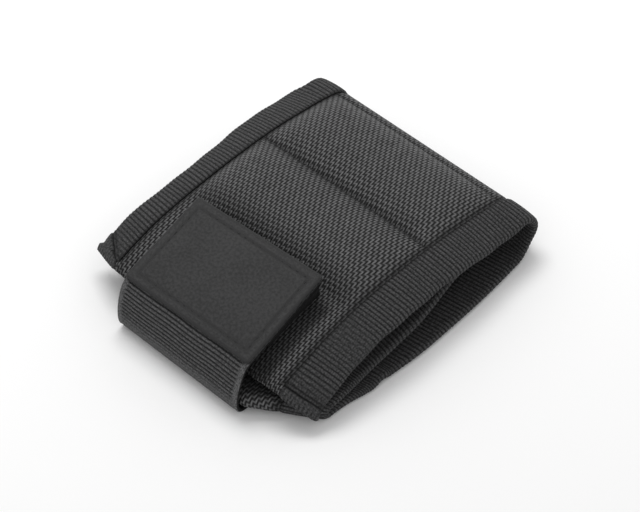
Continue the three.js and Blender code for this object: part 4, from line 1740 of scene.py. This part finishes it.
@dataclass
class Bindings(SubAssembly):
    """The ribbed tape folded over both long edges of every layer.

    leg and wall are the tape's thickness on the faces and at the edge. The ends of the upper
    tapes are folded over at a slanted crease with two seams. Past it is the flap, whose ribs
    lean, and before it they are worn. edge_share is how deep the ribs are at the band's edge,
    beside the others.
    """

    rib_pitch: float = TAPE_RIBS
    rib_slant: float = 0.14
    rib_depth: float = 0.26 * MM
    sharpness: float = 2.4
    sway: float = 0.15
    sway_length: float = 19 * MM
    step: float = 0.23 * MM
    leg: float = 0.5 * MM
    wall: float = 0.6 * MM
    bulge: float = 0.3 * MM
    bulge_power: float = 0.7
    inner_sink: float = 0.3 * MM
    inner_share: float = 0.06
    left_crease: float = 6.3 * MM
    right_crease: float = 5.2 * MM
    left_slant: float = 0.7
    right_slant: float = 0.25
    crease_run: float = 0.5 * MM
    flap: float = 0.3 * MM
    flap_lean: float = 0.1
    flap_finer: float = 1.35
    flap_light: float = 0.35
    seam_gap: float = 1.3 * MM
    seam_width: float = 0.3 * MM
    second_seam: float = 0.6
    seam_depth: float = 0.35 * MM
    seam_shade: float = 0.75
    worn: float = 0.65
    worn_level: float = 0.7
    worn_run: float = 10 * MM
    worn_place: float = 84 * MM
    worn_length: float = 7 * MM
    past_end: float = 0.6 * MM
    solid_run: float = 0.3 * MM
    round_end: float = 1.0 * MM
    corner: float = 1.8 * MM
    corner_share: float = 0.98
    edge_share: float = 0.7
    edge_reach: float = 1.2
    darkest: float = 0.08
    inner_shade: float = 0.7
    inner_width: float = 0.5 * MM
    hidden_light: float = 0.3

    def profile(self, bulge: float) -> tuple[Points, Points, Points]:
        """The tape's section, from its inner edge over the top, round the edge and back.

        Args:
            bulge: How far the tape's top stands proud in its middle.

        Returns:
            Each point's place across, its height, and how ribbed it is.
        """
        s = self.s
        radius = s.bound_thickness / 2
        q = np.linspace(0, 1, TAPE_TOP_STEPS)
        top = s.tape_inner + (s.half - radius - s.tape_inner) * q
        swell = bulge * np.sin(np.pi * q) ** self.bulge_power
        swell = swell - self.inner_sink * bump(q, self.inner_share)
        edge, edge_height = half_round(s.half - radius, radius, 1, ROUND_STEPS)
        low = top[::-4]
        wall = s.half - self.wall
        across = np.concatenate([top, edge, low, [s.tape_inner, wall, wall, s.tape_inner]])
        inside = self.leg - 2 * radius
        height = np.concatenate([swell, edge_height, -2 * radius + 0 * low,
                                 [inside, inside, -self.leg, -self.leg]])
        ribbed = np.ones(len(across))
        ribbed[-4:] = 0
        ribbed[0] = 0.5
        return across, height, ribbed

    def folded(self, run: Run, side: int, u: Points, v: Points) -> tuple[Points, ...]:
        """How the tape's end is folded over.

        Args:
            run: The run that it binds.
            side: 1 on the right and -1 on the left.
            u: The distance across, on either side.
            v: The distance along.

        Returns:
            Where the folded end is, how worn the ribs are, and the crease's seams.
        """
        is_left = side < 0
        inset = self.left_crease if is_left else self.right_crease
        slant = self.left_slant if is_left else self.right_slant
        past = v - run.end + inset + slant * (u - self.s.half + self.s.tape_width / 2)
        faded = ease((past + self.worn_run) / self.worn_run)
        if not is_left:
            faded = np.maximum(faded, bump(v - self.worn_place, self.worn_length))
        seams = bump(past, self.seam_width)
        seams = seams + self.second_seam * bump(past + self.seam_gap, self.seam_width)
        return ease(past / self.crease_run), self.worn * faded, np.clip(seams, 0, 1)

    def closed(self, run: Run, u: Points, v: Points, hollow: Points) -> tuple[Points, Points]:
        """Closes the tape's end and rounds it.

        Args:
            run: The run that it binds.
            u: The distance across.
            v: The distance along.
            hollow: Which points lie inside the tape.

        Returns:
            The new distance across, and how much thinner the tape is.
        """
        finish = run.end + self.past_end
        past = np.clip((v - finish + self.round_end) / self.round_end, 0, 1)
        thinner = np.sqrt(np.maximum(SMALLEST, 1 - past**2))
        u = np.where((v > run.end - self.solid_run) & hollow, self.s.tape_inner, u)
        half = self.s.tape_width / 2
        centre = self.s.half - half
        u = centre + (u - centre) * (1 - self.round_end * (1 - thinner) / half)
        turned = np.clip((v - finish + self.corner) / self.corner, 0, 1)
        cut = self.corner * (1 - np.sqrt(1 - turned**2 * self.corner_share))
        return u - cut * np.clip((u - centre) / half, 0, 1) ** 2, thinner

    def tape(self, name: str, run: Run, side: int, bulge: float,
             crease: bool) -> Piece:
        """One length of tape.

        Args:
            name: The piece's name.
            run: The run that it binds.
            side: 1 on the right and -1 on the left.
            bulge: How far its top stands proud.
            crease: Whether its end is folded over, with a crease.

        Returns:
            The piece.
        """
        s = self.s
        across, height, ribbed = self.profile(bulge)
        u, v = np.meshgrid(across, stations(run.start, run.end + self.past_end, self.step))
        h = height + 0 * u
        sway = self.sway * self.rib_pitch * np.sin(2 * np.pi * v / self.sway_length + side)
        counted = v + sway + self.rib_slant * (u - s.half)
        lengthwise = ridges(counted / self.rib_pitch, self.sharpness)
        crosswise = (u + self.flap_lean * v) * self.flap_finer / self.rib_pitch
        crosswise = ridges(crosswise, self.sharpness)
        flap, worn, seams = (part * crease for part in self.folded(run, side, u, v))
        lengthwise = lengthwise * (1 - worn) + self.worn_level * worn
        crosswise = self.flap_light + (1 - self.flap_light) * crosswise
        rib = lengthwise * (1 - flap) + crosswise * flap
        middle = (height.max() + height.min()) / 2
        outward = np.clip((h - middle) / (0.5 * s.bound_thickness), -1, 1)
        depth = (self.rib_depth * (rib - 1) - self.seam_depth * seams + self.flap * flap) * ribbed
        at_edge = (u > s.half - self.edge_reach * s.bound_thickness) * ribbed
        u, thinner = self.closed(run, u + depth * at_edge * self.edge_share, v, ribbed == 0)
        h = middle + (h + depth * outward - middle) * thinner
        light = (self.darkest + (1 - self.darkest) * rib) * (1 - self.seam_shade * seams)
        light = light * (1 - self.inner_shade * bump(u - s.tape_inner, self.inner_width))
        light = light * (self.hidden_light + (1 - self.hidden_light) * ribbed)
        route = marks_of(np.stack([across, height], -1))
        mesh = ClothMesh(name)
        mesh.add_rings(run.place(side * u, v, h), np.stack([route + 0 * u, counted, light], -1))
        return mesh.build(self.wardrobe.get(Finish.TAPE))

    def build(self) -> None:
        """Builds and dresses the four lengths of tape."""
        shape = self.shape
        for side, word in ((-1, "left"), (1, "right")):
            piece = self.tape(f"upper_binding_{word}", shape.upper_run, side, self.bulge, True)
            self.dress(piece, "binding_tape", BACK_FOLD, f"upper_edge_tape_{word}")
            piece = self.tape(f"lower_binding_{word}", shape.lower_run, side, 0.0, False)
            self.dress(piece, "binding_tape", FRONT_FOLD, f"lower_edge_tape_{word}",
                       f"tail_edge_tape_{word}")


@dataclass
class Strap(SubAssembly):
    """The elastic strap, from its sewn base round the front bend to the tab's rear.

    The grooves between the ribs are shallow below the bend's middle. They deepen and darken from
    rib_start before it, over rib_run. The selvedges are plain, each with a groove beside it.
    """

    rib_pitch: float = WEBBING_RIBS
    rib_depth: float = 0.3 * MM
    low_rib_depth: float = 0.06 * MM
    rib_start: float = 0.5 * MM
    rib_run: float = 4 * MM
    sharpness: float = 2.2
    sway: float = 0.1 * MM
    sway_length: float = 3 * MM
    selvedge: float = 1.7 * MM
    selvedge_run: float = 0.5 * MM
    edge_groove: float = 0.12 * MM
    edge_groove_width: float = 0.4 * MM
    low_shade: float = 0.2
    rib_shade: float = 0.75
    under_light: float = 0.15
    top_share: float = 0.2
    step: float = 0.17 * MM
    step_across: float = 0.9 * MM

    def webbing(self, name: str, start: float, end: float) -> Piece:
        """One length of webbing, with its ribs and selvedges.

        Args:
            name: The piece's name.
            start: Where it starts along the strap.
            end: Where it ends.

        Returns:
            The piece.
        """
        half, thick = self.s.strap_width / 2, self.s.strap_thickness
        inner = half - thick / 2
        top = stations(-inner, inner, self.step_across)
        (right, right_height), (left, left_height) = (
            half_round(sign * inner, thick / 2, sign, STRAP_ROUND_STEPS) for sign in (1, -1))
        height = np.concatenate([0 * top, right_height, 0 * top - thick, left_height])
        u, v = np.meshgrid(np.concatenate([top, right, top[::-1], left]),
                           stations(start, end, self.step))
        h = height + 0 * u
        swayed = v + self.sway * np.sin(u / self.sway_length)
        ridge = ridges(swayed / self.rib_pitch, self.sharpness)
        from_edge = half - self.selvedge - np.abs(u)
        inside = ease(from_edge / self.selvedge_run)
        high = ease((v - self.shape.bend_middle + self.rib_start) / self.rib_run)
        depth = self.low_rib_depth + (self.rib_depth - self.low_rib_depth) * high
        cut = depth * (1 - ridge) * inside
        cut = cut + self.edge_groove * bump(from_edge, self.edge_groove_width)
        is_top = h > -self.top_share * thick
        strength = self.low_shade + self.rib_shade * high
        light = np.where(is_top, 1 - strength * (1 - ridge) * inside, self.under_light)
        mesh = ClothMesh(name)
        mesh.add_rings(self.shape.strap.place(u, v, h - np.where(is_top, cut, 0)),
                       np.stack([u, v, light], -1))
        return mesh.build(self.wardrobe.get(Finish.WEBBING))

    def build(self) -> None:
        """Builds and dresses both lengths."""
        middle = self.shape.bend_middle
        lower = self.webbing("strap_lower", 0.0, middle)
        self.dress(lower, "webbing", STRAP_BEND, "strap_base", "strap_bend")
        upper = self.webbing("strap_upper", middle, self.shape.strap.line.length)
        self.dress(upper, "webbing", TAB_BEND, "tab_webbing")


@dataclass
class ClosureTab(SubAssembly):
    """What is sewn on the tab: the bare patch on top and the hook pad under it.

    base and lift are how far the patch and the pads stand off the webbing, deeper is how much
    thicker the hook pad is than the solid, and meet_gap how far the loops stay clear of it.
    """

    corner: float = 0.9 * MM
    soft_edge: float = 0.35 * MM
    stitch_inset: float = 3 * MM
    stitch_width: float = 0.25 * MM
    stitch_groove: float = 0.08 * MM
    stitch_shade: float = 0.35
    pull: float = 0.15 * MM
    pull_run: float = 6 * MM
    wave: float = 0.05 * MM
    wave_lengths: tuple[float, float] = (5 * MM, 4 * MM)
    edge_light: float = 0.25
    base: float = 0.05 * MM
    lift: float = 0.1 * MM
    deeper: float = 0.9 * MM
    meet_gap: float = 0.25 * MM
    pile: float = 0.08 * MM
    pile_length: float = 0.45 * MM
    step: float = 0.45 * MM
    pad_step: float = 0.7 * MM

    @property
    def half(self) -> float:
        """Half the patch's width."""
        return self.s.strap_width / 2

    @property
    def patch_from(self) -> float:
        """Where the patch starts along the strap."""
        return self.shape.tab_from + self.s.patch_inset

    @property
    def patch_to(self) -> float:
        """Where it ends."""
        return self.shape.strap.line.length

    def patch(self) -> Piece:
        """The patch: a plate with round corners, a soft edge and a stitched border."""
        middle = (self.patch_to - self.patch_from) / 2
        u, v = np.meshgrid(stations(-self.half, self.half, self.step),
                           stations(0, 2 * middle, self.step))
        du = np.maximum(0, np.abs(u) - self.half + self.corner)
        dv = np.maximum(0, np.abs(v - middle) - middle + self.corner)
        far = np.maximum(du, dv)
        stretch = far / np.maximum(np.hypot(du, dv), SMALLEST * MM)
        both = (du > 0) & (dv > 0)
        u = np.where(both, np.sign(u) * (self.half - self.corner + du * stretch), u)
        v = np.where(both, middle + np.sign(v - middle) * (middle - self.corner + dv * stretch), v)
        inset = np.where(both, self.corner - far,
                         np.minimum(self.half - np.abs(u), middle - np.abs(v - middle)))
        inset = np.maximum(inset, 0)
        edge = np.clip(1 - inset / self.soft_edge, 0, 1)
        seam = bump(inset - self.stitch_inset, self.stitch_width)
        top = self.s.gap + self.s.patch - self.soft_edge * (1 - np.sqrt(1 - edge**2))
        top = top - self.stitch_groove * seam + self.pull * (ease(inset / self.pull_run) - 1)
        waves = [np.sin(part / length) for part, length in zip((u, v), self.wave_lengths)]
        top = top + self.wave * waves[0] * waves[1]
        light = (1 - self.stitch_shade * seam) * (1 + self.edge_light * bump(inset, self.soft_edge))
        over, under = (self.shape.strap.place(u, self.patch_from + v, height)
                       for height in (top, self.base + 0 * top))
        flat = np.stack([u, v, light], -1)
        mesh = ClothMesh("patch_leather")
        mesh.add_rings(np.concatenate([over, under[:, ::-1]], 1),
                       np.concatenate([flat, flat[:, ::-1]], 1), True)
        return mesh.build(self.wardrobe.get(Finish.PATCH))

    def pad(self, name: str, place: Callable, start: float, end: float, under: float, top: float,
            finish: Finish, more: Field = nothing) -> Piece:
        """A closure pad: a thin plate with a rough face.

        Args:
            name: The piece's name.
            place: Where a point across, along and high lies.
            start: Where it starts along.
            end: Where it ends.
            under: Its underside's height.
            top: Its top's height.
            finish: Its finish.
            more: How much thicker it is, across and along.

        Returns:
            The piece.
        """
        reach = self.half - self.s.pad_margin

        def rough(u: Points, v: Points) -> Points:
            """Small bumps of the pile."""
            return self.pile * np.sin(u / self.pile_length) * np.sin(v / self.pile_length)

        return sheet(name, place, stations(-reach, reach, self.pad_step),
                     stations(start, end, self.pad_step),
                     lambda u, v: top + rough(u, v) + more(u, v),
                     lambda u, v: under - rough(u, v), whole, self.wardrobe.get(finish))

    def build(self) -> None:
        """Builds and dresses the patch and both pads."""
        s, strap, upper = self.s, self.shape.strap, self.shape.upper
        self.dress(self.patch(), "patch", "closure_tab", "patch")
        rear = strap.line.length
        front = rear - self.shape.hook_length
        under = -s.strap_thickness - s.gap - s.hook_pad - self.deeper
        hooks = self.pad("hook_tape", strap.place, front, rear, under,
                         -s.strap_thickness - self.lift, Finish.HOOKS)
        self.dress(hooks, "hook_pad", "closure_tab", "hook_pad")
        top = s.gap + s.loop_pad - self.lift

        def meeting(u: Points, v: Points) -> Points:
            """How far the loops rise to meet the hooks over them."""
            low = upper.place(u, v, top + 0 * v)
            near, far = (strap.place(u, w + 0 * v, under + 0 * v) for w in (front, rear))
            slope = (far - near)[..., 2] / (far - near)[..., 1]
            over = near[..., 2] + slope * (low[..., 1] - near[..., 1]) - low[..., 2]
            return np.clip(over - self.meet_gap, 0, None)

        loops = self.pad("loop_tape", upper.place, self.shape.pad_begin, self.shape.curl_begin,
                         self.lift, top, Finish.LOOPS, meeting)
        self.dress(loops, "loop_pad", "upper_band", "loop_pad")


@dataclass
class Padding(SubAssembly):
    """The foam pads and the magnets inside the pockets.

    A margin is how far inside its pocket a pad ends, in a round rim. clear is what a lower pad
    leaves free over the magnets.
    """

    foam: float = 1 * MM
    upper_margin: float = 3.6 * MM
    lower_margin: float = 7.8 * MM
    magnet: float = 1.6 * MM
    rim: float = 1.2 * MM
    rim_share: float = 0.02
    full: float = 0.45
    thinnest: float = 0.2 * MM
    clear: float = 0.1 * MM
    step: float = 1.2 * MM

    def pad(self, name: str, layer: Layer, start: float, margin: float, middle: Field,
            thick: Field) -> Piece:
        """One foam pad.

        Args:
            name: The piece's name.
            layer: The layer that it lies in.
            start: Where its pocket starts.
            margin: How far inside the pocket it ends.
            middle: The height of its middle, across and along.
            thick: How far it reaches to either side of its middle.

        Returns:
            The piece.
        """
        half, pitch = self.s.pocket_half - margin, self.s.pocket_pitch

        def reach(u: Points, v: Points) -> Points:
            """How far the pad reaches from its middle, and hardly at all at its rim."""
            ends = pitch / 2 - margin - np.abs(v - start - pitch / 2)
            near = np.clip(np.minimum(half - np.abs(u), ends) / self.rim, 0, 1)
            return thick(u, v) * (self.rim_share + np.sqrt(1 - (1 - near) ** 2))

        return sheet(name, layer.place, stations(-half, half, self.step),
                     stations(start + margin, start + pitch - margin, self.step),
                     lambda u, v: middle(u, v) + reach(u, v),
                     lambda u, v: middle(u, v) - reach(u, v), whole,
                     self.wardrobe.get(Finish.FOAM))

    def build(self) -> None:
        """Builds the foam pads, and gives the magnets their plating."""
        s, shape = self.s, self.shape
        deep = -s.fabric - 2 * s.gap - self.magnet - self.clear
        for i, start in enumerate(s.channels[:2]):
            def under(u: Points, v: Points) -> Points:
                """The height of the lining over a lower pad."""
                return self.clear - s.fabric - s.lower_crown * shape.fullness(u, v, start)

            upper = self.pad(f"upper_foam_pad_{i + 1}", shape.upper, start, self.upper_margin,
                             lambda u, v: self.foam / 2 - s.fabric,
                             lambda u, v: self.full * self.foam)
            lower = self.pad(f"lower_foam_pad_{i + 1}", shape.lower, start, self.lower_margin,
                             lambda u, v: (deep + under(u, v)) / 2,
                             lambda u, v: np.maximum(self.thinnest, (deep - under(u, v)) / 2))
            for pad, word in ((upper, "upper"), (lower, "lower")):
                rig.padded(pad, fill=0.9)
                self.dress(pad, "foam", f"{word}_band", f"{word}_foam_{i + 1}")
        plating = self.wardrobe.get(Finish.PLATING)
        for name, node in frame["nodes"].items():
            if "magnet" in name:
                node.data.materials.clear()
                node.data.materials.append(plating)
                LOG.info("%s: plated", name)


@dataclass
class Stitching(SubAssembly):
    """Rows of sewing thread, each stitch a small bead that dips in at its ends.

    sink is how deep the upper rows beside the tapes, the lower ones and the rows in the channels
    lie, finer the patch's thread beside the others, and base_inset how far the strap base's rows
    lie from its sides, its rear and its front.
    """

    length: float = 2.2 * MM
    pitch: float = 2.9 * MM
    thickness: float = 0.42 * MM
    flatness: float = 0.8
    rise: float = 0.1 * MM
    dip: float = 3.0
    thinnest: float = 0.03
    light: float = 0.8
    tape_inset: float = 1.1 * MM
    tape_ends: tuple[float, float] = (1 * MM, 1.5 * MM)
    channel_margin: float = 0.5 * MM
    sink: tuple[float, float, float] = (0.12 * MM, 0.25 * MM, 0.35 * MM)
    finer: float = 0.6
    base_inset: tuple[float, float, float] = (4 * MM, 3 * MM, 6 * MM)
    base_sink: float = 0.3 * MM

    def row(self, mesh: ClothMesh, place: Callable[[Points, Points], Points],
            total: float, finer: float = 1.0) -> None:
        """Adds one row of stitches.

        Args:
            mesh: The mesh that it is added to.
            place: Where a point at a distance along the row, and a height, lies.
            total: The row's length.
            finer: How thin the thread is beside the others.
        """
        count = max(1, round(total / self.pitch))
        steps = np.linspace(-1, 1, STITCH_STEPS)
        t = (np.arange(count)[:, None] + 0.5) * total / count + steps * self.length / 2
        sink = self.rise * (1 - steps**2 * self.dip) + 0 * t
        line = place(t, sink)
        normal = unit(place(t, sink + self.rise) - line)
        side = np.cross(unit(np.gradient(line, axis=1)), normal)
        radius = finer * self.thickness / 2 * np.sqrt(np.maximum(self.thinnest, 1 - steps**4))
        turn = np.linspace(0, 2 * np.pi, THREAD_SIDES, endpoint=False)[None, None, :, None]
        ring = (np.cos(turn) * side[:, :, None]
                + self.flatness * np.sin(turn) * normal[:, :, None])
        rings = line[:, :, None] + radius[None, :, None, None] * ring
        shape = rings.shape[:3] + (1,)
        along = np.broadcast_to(t[:, :, None, None], shape)
        cloth = np.concatenate([np.broadcast_to(turn * self.thickness / 2, shape), along,
                                self.light + 0 * along], -1)
        for stitch, flat in zip(rings, cloth):
            mesh.add_rings(stitch, flat)

    def line(self, mesh: ClothMesh, place: Callable, start: tuple[float, float],
             end: tuple[float, float], height: float, finer: float = 1.0) -> None:
        """Adds a straight row across or along a layer.

        Args:
            mesh: The mesh that it is added to.
            place: Where a point across, along and high lies.
            start: Where the row starts, across and along.
            end: Where it ends.
            height: How high it lies.
            finer: How thin the thread is beside the others.
        """
        total = math.dist(start, end)
        u, v = ((b - a) / total for a, b in zip(start, end))
        self.row(mesh, lambda t, h: place(start[0] + u * t, start[1] + v * t, height + h), total,
                 finer)

    def band(self, name: str, run: Run, depth: float, channels: Sequence[float],
             fold: Fold) -> None:
        """The rows beside both tapes of a run and across its channels.

        Args:
            name: The piece's name.
            run: The run.
            depth: How deep the rows beside the tapes lie.
            channels: Where the channels are.
            fold: The fold that the rows bend at.
        """
        mesh = ClothMesh(name)
        start, end = run.start + self.tape_ends[0], run.end - self.tape_ends[1]
        reach = self.s.tape_inner + self.tape_inset
        for u in (-reach, reach):
            self.line(mesh, run.place, (u, start), (u, end), -depth)
        half = self.s.pocket_half - self.channel_margin
        for v in channels:
            self.line(mesh, run.place, (-half, v), (half, v), -self.sink[2])
        self.dress(mesh.build(self.wardrobe.get(Finish.THREAD)), "binding_tape", fold)

    def rectangle(self, name: str, half: float, start: float, end: float, height: float,
                  slot: str, body: str, finer: float = 1.0) -> None:
        """Four rows round a rectangle on the strap.

        Args:
            name: The piece's name.
            half: Half the rectangle's width.
            start: Where it starts along the strap.
            end: Where it ends.
            height: How high the rows lie.
            slot: The piece's slot.
            body: The body that it rides on.
            finer: How thin the thread is beside the others.
        """
        mesh = ClothMesh(name)
        place = self.shape.strap.place
        for v in (start, end):
            self.line(mesh, place, (-half, v), (half, v), height, finer)
        for u in (-half, half):
            self.line(mesh, place, (u, start), (u, end), height, finer)
        self.dress(mesh.build(self.wardrobe.get(Finish.THREAD)), slot, body)

    def build(self) -> None:
        """Sews every row."""
        s, shape = self.s, self.shape
        self.band("upper_stitching", shape.upper_run, self.sink[0], s.channels[:2], BACK_FOLD)
        self.band("lower_stitching", shape.lower_run, self.sink[1], s.channels[1:2], FRONT_FOLD)
        tab = ClosureTab(shape, self.wardrobe)
        inset = tab.stitch_inset
        self.rectangle("patch_stitching", tab.half - inset, tab.patch_from + inset,
                       tab.patch_to - inset, s.gap + s.patch - tab.pull - tab.stitch_groove,
                       "patch", "closure_tab", self.finer)
        beside, rear, front = self.base_inset
        self.rectangle("strap_base_stitching", s.strap_width / 2 - beside, rear,
                       shape.bend_from - front, -self.base_sink, "webbing", "lower_band")


@dataclass
class Studio:
    """The pale floor, the soft light and the camera.

    Angles are in degrees, the lens and its sensor in millimetres, and the key lamp's power in
    watts.
    """

    azimuth: float = 43.58
    elevation: float = 47.95
    distance: float = 0.7
    target: tuple[float, float, float] = (4.08 * MM, 1.6 * MM, 8 * MM)
    lens: float = 130.0
    sensor: float = 36.0
    nearest: float = 0.01
    floor_size: float = 6.0
    floor_level: float = -0.1 * MM
    world_light: float = 0.64
    key_power: float = 6.4
    key_size: float = 0.6
    key_place: tuple[float, float, float] = (-0.36, 0.22, 0.9)

    def camera(self) -> None:
        """Puts the camera at the photograph's angle."""
        a, e = math.radians(self.azimuth), math.radians(self.elevation)
        back = np.array([math.sin(a) * math.cos(e), -math.cos(a) * math.cos(e), math.sin(e)])
        lens = bpy.data.cameras.new("camera")
        lens.lens = self.lens
        lens.sensor_width = self.sensor
        lens.clip_start = self.nearest
        camera = place_object("camera", lens)
        camera.location = np.array(self.target) + self.distance * back
        camera.rotation_euler = (math.pi / 2 - e, 0, a)
        bpy.context.scene.camera = camera

    def floor(self) -> None:
        """Lays the white floor, which keeps the band's shadow."""
        half = self.floor_size / 2
        mesh = bpy.data.meshes.new("floor")
        corners = ((-1, -1), (1, -1), (1, 1), (-1, 1))
        mesh.from_pydata([(x * half, y * half, self.floor_level) for x, y in corners], [],
                         [[0, 1, 2, 3]])
        g = Graph(bpy.data.materials.new("white_floor"))
        mesh.materials.append(g.surface({"Base Color": WHITE, "Roughness": 1.0,
                                         "Specular IOR Level": 0.0}))
        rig.stage(place_object("floor", mesh))

    def lamp(self) -> None:
        """Hangs the square soft lamp, which faces the band."""
        light = bpy.data.lights.new("key", "AREA")
        light.size = self.key_size
        light.energy = self.key_power
        lamp = place_object("key", light)
        lamp.location = self.key_place
        aim = -np.array(self.key_place) / np.linalg.norm(self.key_place)
        lamp.rotation_euler = (math.acos(-aim[2]), 0, math.atan2(aim[0], -aim[1]))

    def sky(self) -> None:
        """A white surrounding, plain to the camera and soft to the band."""
        world = bpy.data.worlds.new("studio")
        g = Graph(world)
        path = g.node("ShaderNodeLightPath")
        seen = g.output(path, "Is Camera Ray").maximum(g.output(path, "Is Glossy Ray"))
        seen = seen.maximum(g.output(path, "Is Transmission Ray"))
        back = g.node("ShaderNodeBackground", sockets={
            "Color": WHITE, "Strength": seen * (1 - self.world_light) + self.world_light})
        g.node("ShaderNodeOutputWorld", sockets={0: g.output(back)})
        bpy.context.scene.world = world

    def build(self) -> None:
        """Sets the stage."""
        self.camera()
        self.floor()
        self.sky()
        self.lamp()
        bpy.context.scene.view_settings.view_transform = "Standard"


def main() -> None:
    """Builds every sub-assembly, lights it, and writes both boxes."""
    logging.basicConfig(level=logging.INFO, format="%(name)s: %(message)s")
    shape, wardrobe = BandShape(BandSizes()), Wardrobe()
    for assembly in (Covers, Hems, Bindings, Strap, ClosureTab, Padding, Stitching):
        assembly(shape, wardrobe).build()
        LOG.info("%s done", assembly.__name__)
    Studio().build()
    boxes = {"cad": CAD_BOX, "visual": [list(corner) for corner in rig.bounds()]}
    with open(SIZE_FILE, "w", encoding="utf-8") as out:
        json.dump(boxes, out)
    LOG.info("boxes: %s", boxes)


if __name__ == "__main__":
    main()
